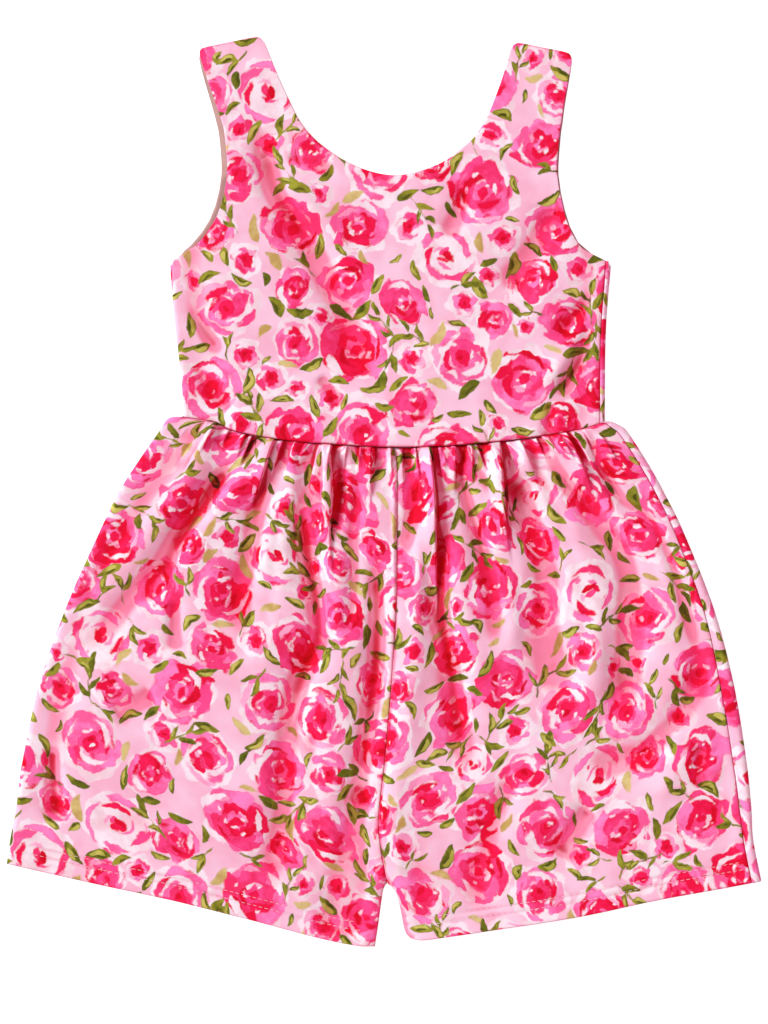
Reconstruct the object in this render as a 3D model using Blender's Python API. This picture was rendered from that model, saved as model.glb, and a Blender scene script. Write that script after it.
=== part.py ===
"""A sleeveless baby romper in printed knit, laid flat on its back.

It has six cut panels: a front and a back bodice with wide straps and a scooped neck, and two front and two
back legs, gathered into a waist seam that dips at the middle. The front panels lie on the back panels, and
the cloth turns round in a soft fold at each side. The side seams lie a little off those folds, under the
romper on the left and on top of it on the right. Left and right are as seen from above, with the neck
at +Y. Tables are in millimetres from the middle of the waist seam.
"""

import bpy
import numpy as np

MM = 0.001

# Cloth
CLOTH = 1.1
HEM = 2.1  # two layers, where the edge is turned up inside
HEM_DEPTH = 12.0
SEAM_GAP = 0.3
SEAM_ROLL = 0.6  # how far an edge dips where it is sewn to the next panel
ROLL_REACH = 2.5

# The soft folds at the sides are half circles in section.
BODICE_FOLD = 2.2
SHORTS_FOLD = 2.8
UNDER_SEAM_INSET = 6.0  # the left side seam, in from the outermost line and out of sight

# Heights of the upper cloth's outer face over the surface that the romper lies on
BODICE_TOP = 3.2
SHORTS_TOP = 3.4
HEM_TOP = 4.8

# Where the back panel shows past the front one at the armholes, and how far it hides at the neck
BACK_SHOWS = {"left": 3.2, "right": 1.0}
BACK_NECK_DROP = 1.4

WAIST_SEAM = [  # x, y
    (-110.8, 15.7), (-94, 13), (-84, 8.6), (-62, 4.2), (-33, 1.5),
    (0, 0), (30, 0.8), (66, 4.2), (98, 9.4), (110.8, 13.6),
]
BODICE_SECTIONS = [  # y, left fold, right fold, how far the right seam lies in from its fold
    (95, -117.8, 113.9, 2.5),
    (70, -115.6, 111.8, 2.6),
    (50, -113.4, 111.0, 2.7),
    (30, -111.4, 110.8, 2.7),
    (14.5, -110.8, 110.8, 2.6),
]
UNDERARM_FOLD = {"left": (-115.4, 98.4), "right": (111.8, 97.4)}  # the fold's middle at the armhole: x, y
UNDERARM_SEAM = {"left": (-112.2, 101.0), "right": (111.4, 97.7)}
ARMHOLE_SECTIONS = [  # y, left edge, right edge
    (104, -109.8, 100.2),
    (108, -105.0, 96.6),
    (115, -99.8, 92.9),
    (125, -94.6, 89.7),
    (143, -90.8, 86.5),
]
STRAP_SECTIONS = [  # y, left strap's outer and inner edge, right strap's inner and outer edge
    (163, -91.9, -43.1, 42.5, 87.6),
    (171, -93.5, -49.4, 47.7, 88.7),
    (179, -95.6, -53.6, 51.4, 89.7),
    (195, -100.3, -61.0, 57.2, 92.4),
]
STRAP_ENDS = [(-103.5, 208.7), (-69.4, 215.8), (62.3, 212.6), (94.1, 206.3)]  # their corners' x, y
NECK_SECTIONS = [  # y, left edge, right edge
    (157, -36.3, 36.2),
    (150, -25.6, 26.7),
    (144.5, -12.5, 13.4),
]
NECK_BOTTOM = (0.5, 142.4)
PUFF = {  # where the gathers swell past the bodice: x, y
    "left": [(-110.8, 15.4), (-115, 15.8), (-119.2, 14.5), (-123.6, 8)],
    "right": [(110.8, 13.3), (114, 13.2), (118.2, 11.4), (122.6, 8)],
}
SHORTS_SECTIONS = [  # y, left fold, centre seam, right fold, how far the right seam lies in from its fold
    (-10, -136.0, 1.5, 134.2, 4.2),
    (-25, -145.3, 1.6, 142.4, 4.2),
    (-45, -154.9, 1.5, 152.2, 4.4),
    (-85, -172.6, 1.1, 168.0, 5.4),
    (-125, -186.4, -1.4, 178.5, 7.2),
    (-165, -195.2, -4.8, 185.1, 7.2),
    (-190, -198.6, -7.7, 187.7, 6.4),
    (-206, -201.6, -7.4, 188.6, 5.2),
]
CROTCH = (-3.6, -229)
INSEAM_SECTIONS = [  # y, left leg's edge, right leg's edge
    (-231.5, -5.5, -0.5),
    (-238, -6.6, 2.3),
    (-250, -8.2, 4.7),
    (-255.2, -9.0, 6.2),
]
HEM_LINE = {  # x, y
    "left": [
        (-203.4, -218.6), (-160, -228.4), (-120, -237), (-80, -246.9),
        (-40, -257.6), (-20, -261.6), (-10.1, -262.2),
    ],
    "right": [
        (8.6, -257.9), (12, -258.6), (20, -258.2), (60, -252.4), (100, -245.9),
        (140, -237.4), (180, -230.2), (192.8, -227.6),
    ],
}

# A fold is the points down its line, its width, its height and its lean. A trough's height is below 0.
# A positive lean makes a fold drop steeply on its right, a negative one on its left, and 0 is a soft roll.
GATHERS = [
    ([(-104, 13), (-128, -14)], 8, 3.2, 0),
    ([(-91, 11), (-112, -26)], 7, 2.8, -1),
    ([(-77, 7), (-86, -34)], 6, 2.0, 0),
    ([(-61, 5), (-69, -14), (-78, -34)], 9, 5.0, 1),
    ([(-49, 3), (-54, -52)], 7, 2.6, 0),
    ([(-33, 2), (-34, -66)], 6, 3.8, -1),
    ([(-14, 1), (-13, -40)], 6, 2.8, 1),
    ([(18, 1), (21, -45), (22, -92)], 9, 5.4, 1),
    ([(33, 1), (36, -46)], 6, 2.6, 0),
    ([(55, 3), (57, -30), (61, -62)], 8, 4.8, 1),
    ([(69, 5), (76, -30)], 6, 2.4, 0),
    ([(79, 6), (110, -34)], 7, 4.0, 1),
    ([(93, 9), (118, -38)], 7, 3.0, 0),
    ([(108, 12), (138, -36)], 8, 3.4, 0),
]
DRAPES = [  # the long soft troughs below them, down the legs
    ([(-78, -2), (-100, -25), (-126, -65), (-142, -84), (-160, -108)], 8, -3.2, 0),
    ([(-72, -18), (-74, -45), (-80, -72), (-81, -100)], 8, -3.0, 0),
    ([(-48, -36), (-45, -62), (-40, -95), (-48, -116), (-55, -142), (-58, -190), (-65, -240)], 8, -3.6, 0),
    ([(-10, -66), (-10, -110), (-14, -150), (-19, -190)], 7, -3.4, 0),
    ([(-19, -180), (-24, -225), (-28, -262)], 11, -3.2, 0),
    ([(23, -48), (24, -84), (29, -120), (33, -150), (38, -174)], 7, -3.4, 0),
    ([(63, -18), (72, -40), (79, -62), (79, -95), (85, -136)], 10, -4.2, 0),
    ([(88, -12), (104, -34), (122, -62), (124, -100), (115, -148)], 9, -3.9, 0),
    ([(163, -114), (150, -140), (130, -160), (98, -168)], 9, -3.0, 0),
    ([(101, -190), (84, -216)], 8, -2.4, 0),
]
DRAGS = [  # soft drags in the bodice, from the armholes down
    ([(-70, 158), (-60, 130), (-40, 98), (-26, 66), (-8, 28)], 9, -3.6, 0),
    ([(-112, 74), (-90, 48)], 5, -1.8, 0),
    ([(-108, 42), (-84, 18)], 5, -1.8, 0),
    ([(84, 124), (73, 104), (56, 80)], 9, -2.8, 0),
    ([(106, 58), (92, 36), (86, 24)], 6, -2.0, 0),
    ([(30, 60), (10, 22)], 12, 1.0, 0),
]
STEEP = 0.4  # the steep side's width, as a share of the other side's
WIDENING = (0.8, 1.3)  # a fold's width at its start and end, as shares of the width in its row
# Shares of a fold's length: where it starts to rise and is fully risen, where it ends, and how long it fades
RISES = (-0.12, 0.08)
ENDS = 1.05
FADES = {"gathers": 0.6, "drapes": 0.25}
PRESSED = 0.3  # the gathers' height at the waist seam, as a share of their height below it
PRESSED_REACH = 6.0  # where they have their full height, below the seam

# How the upper cloth lies between its seams and its edges
BODICE_PUFF = 2.8  # how far the bodice stands up off the back panel in its middle
SHORTS_PUFF = 3.4
PUFF_REACH = {"side": 30.0, "waist": 20.0, "hem": 60.0}  # how far in from each of them it has its full height
SMOOTH_BESIDE_SIDES = 12.0  # folds fade out over this width beside the side folds
SIDE_RISE = 10.0  # the width over which the upper cloth rises to a side fold
HEM_RISE = (16.0, 38.0)  # above the hem, where the cloth has the hem's height and where it starts to rise
LOWEST = 2.5  # the upper cloth's outer face in the deepest trough, just clear of the back panel
HEM_LOWEST = 4.4
TROUGH_ROUNDING = 0.3
FOLD_GROWS = 16.0  # the side folds change radius over this height, about the waist

# Cells of the panels' grids
BODICE_CELLS = {
    "front": {"armhole": 5, "strap": 6, "neck": 12, "strap_length": 6},
    "back": {"armhole": 4, "strap": 4, "neck": 8, "strap_length": 4},
}
LEG_CELLS_ACROSS = {"front": 51, "back": 12}
SIDE_CELLS = {"bodice": 8, "shorts": 11}  # the same on both layers, so that they meet along their seams
ROW_SPREAD = 1.25  # the rows of the shorts lie closer together near the waist
TURN_CELLS = 6
DENSE = 30  # samples of a smooth line between two of its own points

PULL_REACH = 14.0  # how far along a line a change at its end is felt
TAPER = 0.6  # how soon the back panel's edge leaves the front one's, from 0 at once to 1 like a half wave

PRINT_PINK = (0.9, 0.34, 0.48, 1.0)
INWARD = {"left": 1, "right": -1}


def smooth(t):
    t = np.clip(t, 0, 1)
    return t * t * (3 - 2 * t)


def column(table, x):
    """The (x, y) points of one column of a table whose first column is y."""
    return [(row[x], row[0]) for row in table]


def smooth_line(points):
    """A Catmull-Rom curve through the points, with DENSE samples from each to the next."""
    p = np.array(points, float)
    padded = np.vstack([2 * p[0] - p[1], p, 2 * p[-1] - p[-2]])
    t = np.linspace(0, len(p) - 1, DENSE * (len(p) - 1) + 1)
    i = np.minimum(t.astype(int), len(p) - 2)
    f = (t - i)[:, None]
    a, b, c, d = (padded[i + k] for k in range(4))
    return 0.5 * (2 * b + (c - a) * f + (2 * a - 5 * b + 4 * c - d) * f**2 + (3 * b - a - 3 * c + d) * f**3)


def lengths(line):
    return np.concatenate([[0], np.cumsum(np.linalg.norm(np.diff(line, axis=0), axis=1))])


def at_lengths(line, wanted, measured_on=None):
    """Points of a line at these lengths, which may be measured on a line that runs beside it."""
    length = lengths(line if measured_on is None else measured_on)
    return np.stack([np.interp(wanted, length, line[:, k]) for k in range(2)], axis=-1)


def evenly(line, cells, start=0, end=None):
    """Even steps along a smooth line, between two of the points that it was made from."""
    piece = line[start * DENSE : None if end is None else end * DENSE + 1]
    return at_lengths(piece, np.linspace(0, lengths(piece)[-1], cells + 1))


def straight(a, b, cells):
    return np.linspace(a, b, cells + 1)


def moved(line, distance):
    """A plan line moved to its left by a distance, which may differ from point to point."""
    d = np.gradient(line, axis=0)
    normal = np.stack([-d[:, 1], d[:, 0]], axis=1) / np.linalg.norm(d, axis=1)[:, None]
    return line + normal * np.broadcast_to(distance, len(line))[:, None]


def pulled(line, start=None, end=None):
    """A line whose ends are drawn to the given points, fading out along its length."""
    length = lengths(line)[:, None]
    result = line.copy()
    if start is not None:
        result += (np.array(start) - line[0]) * smooth(1 - length / PULL_REACH)
    if end is not None:
        result += (np.array(end) - line[-1]) * smooth(1 - (length[-1] - length) / PULL_REACH)
    return result


def between(line, a, b, cells):
    """Even steps along a line from near a to near b, with its ends drawn onto them."""
    start, end = (np.linalg.norm(line - p, axis=1).argmin() for p in (a, b))
    piece = pulled(line[start : end + 1], a, b)
    return at_lengths(piece, np.linspace(0, lengths(piece)[-1], cells + 1))


def patch(top, bottom, left, right):
    """A Coons patch: its rows run from top to bottom and its columns from left to right."""
    u = np.linspace(0, 1, len(top))[None, :, None]
    v = lengths(left)[:, None, None] / lengths(left)[-1]
    ruled = (1 - v) * top[None] + v * bottom[None] + (1 - u) * left[:, None] + u * right[:, None]
    corners = (1 - u) * ((1 - v) * top[0] + v * bottom[0]) + u * ((1 - v) * top[-1] + v * bottom[-1])
    return ruled - corners


# Dense plan lines. The sides and the centre seam run downwards, and the others to the right.
WAIST = smooth_line(WAIST_SEAM)
CENTRE = smooth_line([(0, 0)] + column(SHORTS_SECTIONS, 2) + [CROTCH])
HEMS = {name: smooth_line(points) for name, points in HEM_LINE.items()}
SHOULDERS = [straight(*STRAP_ENDS[:2], DENSE), straight(*STRAP_ENDS[2:], DENSE)]


def waist_points(part, x, seam=WAIST):
    """Points of the waist seam at these x, half a gap into a part."""
    gap = SEAM_GAP / 2 if part == "bodice" else -SEAM_GAP / 2
    return np.stack([x, np.interp(x, seam[:, 0], seam[:, 1]) + gap], axis=-1)


def side(part, name):
    """A side's outermost line, the middle of its fold and its seam, each from top to bottom."""
    table = BODICE_SECTIONS if part == "bodice" else SHORTS_SECTIONS
    x = 1 if name == "left" else len(table[0]) - 2
    points = column(table, x)
    if part == "shorts":
        points = PUFF[name] + points + [HEM_LINE[name][0 if name == "left" else -1]]
    outer = smooth_line(points)
    inset = UNDER_SEAM_INSET
    seam_end = BODICE_SECTIONS[-1][1] + UNDER_SEAM_INSET
    if name == "right":
        inset = np.interp(-outer[:, 1], [-row[0] for row in table], [row[-1] for row in table])
        seam_end = BODICE_SECTIONS[-1][2] - BODICE_SECTIONS[-1][3]
    waist = BODICE_SECTIONS[-1][1 if name == "left" else 2]
    fold_end = waist_points(part, waist + INWARD[name] * BODICE_FOLD)
    seam_end = waist_points(part, seam_end)
    fold = moved(outer, INWARD[name] * (BODICE_FOLD if part == "bodice" else SHORTS_FOLD))
    seam = moved(outer, INWARD[name] * inset)
    if part == "shorts":
        return pulled(outer, start=waist_points(part, waist)), pulled(fold, fold_end), pulled(seam, seam_end)
    outer = pulled(outer, end=waist_points(part, waist))
    return outer, pulled(fold, UNDERARM_FOLD[name], fold_end), pulled(seam, UNDERARM_SEAM[name], seam_end)


SIDES = {(part, name): side(part, name) for part in ("bodice", "shorts") for name in ("left", "right")}


def stepped_waist(layer):
    """The waist seam as the straight steps of the bodice's grid, which the legs' finer steps keep to."""
    cells = BODICE_CELLS[layer]
    half = cells["armhole"] + cells["strap"] + cells["neck"] // 2
    ends = []
    for name in ("left", "right"):
        on_fold = (layer == "front") == (name == "left")
        ends.append(SIDES["bodice", name][1 if on_fold else 2][-1, 0])
        if not on_fold:
            ends[-1] += INWARD[name] * SEAM_GAP / 2
    x = np.concatenate([np.linspace(ends[0], 0, half + 1), np.linspace(0, ends[1], half + 1)[1:]])
    return np.stack([x, np.interp(x, WAIST[:, 0], WAIST[:, 1])], axis=-1)


def distance_to(line, x, y):
    """Plan distance from each point to a dense line."""
    return np.hypot(x[..., None] - line[:, 0], y[..., None] - line[:, 1]).min(axis=-1)


def relief(table, x, y, fades):
    """The height that folds add at plan points: a bell across each smooth line, fading at its ends."""
    z = np.zeros_like(x)
    for points, width, height, lean in table:
        line = smooth_line(points)
        row = np.hypot(x[..., None] - line[:, 0], y[..., None] - line[:, 1]).argmin(axis=-1)
        run = np.gradient(line, axis=0)[row]
        step = np.linalg.norm(run, axis=-1)
        dx, dy = x - line[row, 0], y - line[row, 1]
        t = (lengths(line)[row] + (dx * run[..., 0] + dy * run[..., 1]) / step) / lengths(line)[-1]
        right_of = (dy * run[..., 0] - dx * run[..., 1]) / step
        spread = width * np.interp(t, (0, 1), WIDENING) * np.where(right_of * lean > 0, STEEP, 1.0)
        ends = smooth((t - RISES[0]) / (RISES[1] - RISES[0])) * smooth((ENDS - t) / fades)
        z += height * ends * np.exp(-((right_of / spread) ** 2))
    return z


def fold_radius(y):
    """The side folds' radius, which grows below the waist."""
    return BODICE_FOLD + (SHORTS_FOLD - BODICE_FOLD) * smooth((FOLD_GROWS - y) / FOLD_GROWS)


def upper_height(part, x, y):
    """Height of the upper cloth's outer face: a puffed level with folds, which rises at the sides.

    It dips where it is sewn, and stays clear of the back panel under it.
    """
    near = np.minimum(*(distance_to(SIDES[part, name][1], x, y) for name in ("left", "right")))
    calm = smooth(near / SMOOTH_BESIDE_SIDES)
    puff = smooth(near / PUFF_REACH["side"])
    if part == "bodice":
        level = BODICE_TOP + BODICE_PUFF * puff + calm * relief(DRAGS, x, y, FADES["drapes"])
        lowest = LOWEST
        sewn = [WAIST, SIDES[part, "right"][2]] + SHOULDERS
    else:
        to_waist = distance_to(WAIST, x, y)
        above_hem = np.minimum(*(distance_to(line, x, y) for line in HEMS.values()))
        at_hem = smooth((HEM_RISE[1] - above_hem) / (HEM_RISE[1] - HEM_RISE[0]))
        puff = puff * smooth(to_waist / PUFF_REACH["waist"]) * smooth(above_hem / PUFF_REACH["hem"])
        free = PRESSED + (1 - PRESSED) * smooth(to_waist / PRESSED_REACH)
        folds = relief(GATHERS, x, y, FADES["gathers"]) + relief(DRAPES, x, y, FADES["drapes"])
        level = SHORTS_TOP + (HEM_TOP - SHORTS_TOP) * at_hem + SHORTS_PUFF * puff + calm * free * folds
        lowest = LOWEST + (HEM_LOWEST - LOWEST) * at_hem
        sewn = [WAIST, SIDES[part, "right"][2], CENTRE]
    level = level + np.maximum(2 * fold_radius(y) - level, 0) * np.exp(-((near / SIDE_RISE) ** 2))
    to_seam = np.minimum.reduce([distance_to(line, x, y) for line in sewn])
    level = level - SEAM_ROLL * np.exp(-((to_seam / ROLL_REACH) ** 2))
    return lowest + TROUGH_ROUNDING * np.logaddexp(0, (level - lowest) / TROUGH_ROUNDING)


def sheet(plan, height, thickness=CLOTH):
    """Grid points as (x, y, z, thickness)."""
    shape = plan.shape[:2]
    return np.dstack([plan, np.broadcast_to(height, shape), np.broadcast_to(thickness, shape)])


def turned(rows, on_top, end_height, thickness=CLOTH):
    """The cloth round a side fold: half a circle from the fold's middle, then a flat run to the side seam.

    It starts on the upper face and ends under the romper, or the other way up where on_top is false.
    """
    outer, fold, seam = rows
    angle = np.linspace(0, np.pi, TURN_CELLS + 1)[None, :]
    plan = fold[:, None] + (outer - fold)[:, None] * np.sin(angle)[..., None]
    radius = fold_radius(fold[:, 1])[:, None]
    height = radius * (1 + np.cos(angle) * (1 if on_top else -1))
    plan = np.concatenate([plan, seam[:, None]], axis=1)
    height = np.concatenate([height, np.broadcast_to(end_height, (len(seam),))[:, None]], axis=1)
    return sheet(plan, height, thickness)


def side_rows(part, name, wanted, tail_side):
    """The side's three lines at these lengths, and its seam half a gap to one side."""
    lines = SIDES[part, name]
    outer, fold, seam = (at_lengths(line, wanted, measured_on=lines[1]) for line in lines)
    return outer, fold, seam + [tail_side * INWARD[name] * SEAM_GAP / 2, 0]


def knit():
    """Printed knit: matt, in the print's mean pink."""
    material = bpy.data.materials.get("printed_knit")
    if material is None:
        material = bpy.data.materials.new("printed_knit")
        material.use_nodes = True
        surface = material.node_tree.nodes["Principled BSDF"]
        surface.inputs["Base Color"].default_value = PRINT_PINK
        surface.inputs["Roughness"].default_value = 0.8
        surface.inputs["Metallic"].default_value = 0.0
    return material


def finish_patches(layer, part, plans, strip, strip_name):
    """Gives plan grids their heights and joins the turned side to the first of them."""
    patches = []
    for plan, thickness in plans:
        height = upper_height(part, plan[..., 0], plan[..., 1]) if layer == "front" else 0.0
        patches.append(sheet(plan, height, thickness))
    if strip is not None:
        edge = 0 if strip_name == "left" else -1
        patches[0][:, edge, 2] = strip[:, 0, 2]
        patches.append(strip[:, ::-1] if strip_name == "left" else strip)
    return patches


def bodice(layer):
    """The patches of a bodice: its body up to the underarms, its two straps and its turned side."""
    cells = BODICE_CELLS[layer]
    on_fold = "left" if layer == "front" else "right"
    edge, arm, strip = {}, {}, None
    for name, x_arm, x_strap, end in (("left", 1, 1, STRAP_ENDS[0]), ("right", 2, 4, STRAP_ENDS[3])):
        fold_length = lengths(SIDES["bodice", name][1])[-1]
        wanted = np.linspace(0, fold_length, SIDE_CELLS["bodice"] + 1)
        rows = side_rows("bodice", name, wanted, -1 if name == on_fold else 1)
        edge[name] = rows[1] if name == on_fold else rows[2]
        if name == on_fold:
            seam = rows[2]
            end_height = 0.0 if layer == "front" else upper_height("bodice", seam[:, 0], seam[:, 1])
            strip = turned(rows, layer == "front", end_height)
        points = [edge[name][0]] + column(ARMHOLE_SECTIONS, x_arm) + column(STRAP_SECTIONS, x_strap) + [end]
        arm[name] = smooth_line(points)
        if layer == "front":
            taper = np.sin(np.pi * np.linspace(0, 1, len(arm[name]))) ** TAPER
            arm[name] = moved(arm[name], -INWARD[name] * BACK_SHOWS[name] * taper)
    points = [STRAP_ENDS[1]] + column(STRAP_SECTIONS[::-1], 2) + column(NECK_SECTIONS, 1) + [NECK_BOTTOM]
    points += column(NECK_SECTIONS[::-1], 2) + column(STRAP_SECTIONS, 3) + [STRAP_ENDS[2]]
    neck = smooth_line(points)
    if layer == "back":
        neck = moved(neck, -BACK_NECK_DROP * np.sin(np.pi * np.linspace(0, 1, len(neck))) ** TAPER)
    base = len(ARMHOLE_SECTIONS)
    first = len(STRAP_SECTIONS)
    last = first + 2 * len(NECK_SECTIONS) + 2

    around = {name: evenly(arm[name], cells["armhole"], 0, base) for name in arm}
    neckline = evenly(neck, cells["neck"], first, last)
    base_left = straight(around["left"][-1], neckline[0], cells["strap"])
    base_right = straight(neckline[-1], around["right"][-1], cells["strap"])
    top = np.vstack([around["left"], base_left[1:], neckline[1:], base_right[1:], around["right"][-2::-1]])
    steps = stepped_waist(layer)
    bottom = waist_points("bodice", steps[:, 0], steps)
    edge["left"][-1], edge["right"][-1] = bottom[0], bottom[-1]
    body = patch(top, bottom, edge["left"], edge["right"])

    count = cells["strap_length"]
    inner_left = evenly(neck, count, 0, first)
    inner_right = evenly(neck, count, last)[::-1]
    outer = {name: evenly(arm[name], count, base)[::-1] for name in arm}
    top_left = straight(outer["left"][0], inner_left[0], cells["strap"])
    top_right = straight(inner_right[0], outer["right"][0], cells["strap"])
    left = patch(top_left, base_left, outer["left"], inner_left)
    right = patch(top_right, base_right, inner_right, outer["right"])
    return finish_patches(layer, "bodice", [(body, CLOTH), (left, CLOTH), (right, CLOTH)], strip, on_fold)


def leg(layer, name):
    """The patches of a leg panel, from its side to the centre seam and the inseam, with its turned side."""
    gap = -INWARD[name] * SEAM_GAP / 2
    centre = CENTRE + [gap, 0]
    steps = stepped_waist(layer)
    side_end = steps[0 if name == "left" else -1, 0]
    top = waist_points("shorts", np.linspace(side_end, gap, LEG_CELLS_ACROSS[layer] + 1), steps)
    centre[0] = top[-1]
    hem = HEMS[name]
    inseam_x, hem_end = (1, hem[-1]) if name == "left" else (2, hem[0])
    inseam = smooth_line([centre[-1]] + column(INSEAM_SECTIONS, inseam_x) + [hem_end])
    middle = np.vstack([centre, inseam[1:]])
    to_crotch, to_hem = lengths(centre)[-1], lengths(middle)[-1]
    hem_rows = np.array([HEM_DEPTH + 1, HEM_DEPTH, 0])
    upper = to_crotch * np.linspace(0, 1, SIDE_CELLS["shorts"] + 1) ** ROW_SPREAD
    inner = at_lengths(middle, np.concatenate([upper, to_hem - hem_rows]))

    side_length = lengths(SIDES["shorts", name][1])[-1]
    wanted = np.concatenate([upper * side_length / to_hem, side_length - hem_rows])
    on_fold = (layer == "front") == (name == "left")
    rows = side_rows("shorts", name, wanted, -1 if on_fold else 1)
    edge = rows[1] if on_fold else rows[2]
    thickness = np.full((len(wanted), 1), CLOTH)
    thickness[-2:] = HEM
    strip = None
    if on_fold:
        seam = rows[2]
        end_height = 0.0 if layer == "front" else upper_height("shorts", seam[:, 0], seam[:, 1])
        strip = turned(rows, layer == "front", end_height, thickness)
    edge[0] = top[0]
    left, right = (edge, inner) if name == "left" else (inner, edge)
    bottom = between(hem, left[-1], right[-1], LEG_CELLS_ACROSS[layer])
    plan = patch(top if name == "left" else top[::-1], bottom, left, right)
    return finish_patches(layer, "shorts", [(plan, thickness)], strip, name)


def cloth(name, patches, origin, faces_down):
    """One panel: its patches are joined, and a Solidify modifier makes the wall inside the outer face."""
    points = np.vstack([p.reshape(-1, 4) for p in patches])
    quads = []
    start = 0
    for p in patches:
        i = start + np.arange(p.shape[0] * p.shape[1]).reshape(p.shape[:2])
        quads.append(np.stack([i[1:, :-1], i[1:, 1:], i[:-1, 1:], i[:-1, :-1]], axis=-1).reshape(-1, 4))
        start += i.size
    _, first, index = np.unique(np.round(points[:, :3], 3), axis=0, return_index=True, return_inverse=True)
    faces = index.reshape(-1)[np.vstack(quads)]
    if faces_down:
        faces = faces[:, ::-1]
    points = points[first]
    mesh = bpy.data.meshes.new(name)
    mesh.from_pydata(((points[:, :3] - origin) * MM).tolist(), [], faces.tolist())
    mesh.shade_smooth()
    mesh.materials.append(knit())
    panel = bpy.data.objects.new(name, mesh)
    bpy.context.scene.collection.objects.link(panel)
    hem = panel.vertex_groups.new(name="turned_hem")
    hem.add(list(range(len(points))), 0.0, "REPLACE")
    hem.add(np.flatnonzero(points[:, 3] > CLOTH).tolist(), 1.0, "REPLACE")
    wall = panel.modifiers.new("wall", "SOLIDIFY")
    wall.offset = -1
    wall.thickness = HEM * MM
    wall.vertex_group = hem.name
    wall.thickness_vertex_group = CLOTH / HEM
    wall.use_quality_normals = True
    return panel


def main():
    for obj in list(bpy.data.objects):
        bpy.data.objects.remove(obj)
    panels = {}
    for layer in ("front", "back"):
        panels[layer + "_bodice"] = bodice(layer)
        for name in ("left", "right"):
            panels[f"{layer}_leg_{name}"] = leg(layer, name)
    points = np.vstack([p[..., :2].reshape(-1, 2) for patches in panels.values() for p in patches])
    middle = (points.min(axis=0) + points.max(axis=0)) / 2
    origin = np.array([middle[0], middle[1], 0])  # the bottom middle of the romper's box
    for name, patches in panels.items():
        cloth(name, patches, origin, faces_down=name.startswith("back"))


main()
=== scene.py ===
# A baby romper in a rose-printed knit, laid flat: thin closed shells of cloth on the six panels of the frame.
# Plan sizes are in millimetres from the middle of the waist seam, with the neck at +Y.
import math
import bpy
import mathutils
import numpy as np
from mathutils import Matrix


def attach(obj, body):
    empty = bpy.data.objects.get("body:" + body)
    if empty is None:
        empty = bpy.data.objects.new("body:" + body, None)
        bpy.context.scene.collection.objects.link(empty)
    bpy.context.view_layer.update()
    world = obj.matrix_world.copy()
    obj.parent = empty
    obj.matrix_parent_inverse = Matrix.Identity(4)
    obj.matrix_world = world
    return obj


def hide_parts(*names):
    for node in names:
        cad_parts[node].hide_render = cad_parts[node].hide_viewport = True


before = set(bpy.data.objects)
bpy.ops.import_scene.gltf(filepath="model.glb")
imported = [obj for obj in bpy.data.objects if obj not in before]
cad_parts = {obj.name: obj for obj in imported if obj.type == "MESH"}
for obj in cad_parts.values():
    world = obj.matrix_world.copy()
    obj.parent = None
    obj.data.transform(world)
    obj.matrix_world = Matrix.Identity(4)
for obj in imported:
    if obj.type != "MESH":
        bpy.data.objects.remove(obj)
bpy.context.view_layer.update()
mm = 0.001
inward = {"left": 1, "right": -1}


# Lines and grids in plan

def smooth(t):  # 3t^2 - 2t^3, held between 0 and 1
    t = np.clip(t, 0, 1)
    return t * t * (3 - 2 * t)


def bell(t):  # e to the minus t squared
    return np.exp(-t * t)


def column(table, x):  # one column of a table whose first column is y, as points
    return [(row[x], row[0]) for row in table]


def smoothLine(points, dense=40):
    # Catmull-Rom: a cubic whose slope at each point is half the step between that point's two neighbours
    p = np.array(points, float)
    q = np.vstack([2 * p[0] - p[1], p, 2 * p[-1] - p[-2]])
    t = np.linspace(0, len(p) - 1, dense * (len(p) - 1) + 1)
    i = np.minimum(t.astype(int), len(p) - 2)
    f = (t - i)[:, None]
    a, b, c, d = (q[i + k] for k in range(4))
    return 0.5 * (2 * b + (c - a) * f + (2 * a - 5 * b + 4 * c - d) * f**2 + (3 * b - a - 3 * c + d) * f**3)


def lengths(line):  # running length along a line
    return np.concatenate([[0], np.cumsum(np.linalg.norm(np.diff(line, axis=0), axis=1))])


def atLengths(line, wanted, measuredOn=None):
    run = lengths(line if measuredOn is None else measuredOn)
    return np.stack([np.interp(wanted, run, line[:, k]) for k in range(line.shape[1])], axis=-1)


def evenly(line, cells, start=0, end=None, dense=40):  # even steps between two of the line's own points
    piece = line[start * dense: None if end is None else end * dense + 1]
    return atLengths(piece, np.linspace(0, lengths(piece)[-1], cells + 1))


def moved(line, distance):  # a line shifted to its left
    d = np.gradient(line, axis=0)
    normal = np.stack([-d[:, 1], d[:, 0]], axis=1) / np.linalg.norm(d, axis=1)[:, None]
    return line + normal * np.broadcast_to(distance, len(line))[:, None]


def pulled(line, start=None, end=None, reach=14.0):
    # a line with its ends drawn to given points, fading along it
    run = lengths(line)[:, None]
    result = line.copy()
    if start is not None:
        result += (np.array(start) - line[0]) * smooth(1 - run / reach)
    if end is not None:
        result += (np.array(end) - line[-1]) * smooth(1 - (run[-1] - run) / reach)
    return result


def between(line, a, b, cells):  # even steps along a line from near a to near b
    start, end = (np.linalg.norm(line - p, axis=1).argmin() for p in (a, b))
    piece = pulled(line[start:end + 1], a, b)
    return atLengths(piece, np.linspace(0, lengths(piece)[-1], cells + 1))


def coons(top, bottom, left, right):
    # Coons patch: left and right blended, plus top and bottom blended, less the blend of the four corners
    u = np.linspace(0, 1, len(top))[None, :, None]
    v = (lengths(left) / lengths(left)[-1])[:, None, None]
    ruled = (1 - v) * top[None] + v * bottom[None] + (1 - u) * left[:, None] + u * right[:, None]
    corners = (1 - u) * ((1 - v) * top[0] + v * bottom[0]) + u * ((1 - v) * top[-1] + v * bottom[-1])
    return ruled - corners


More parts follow.
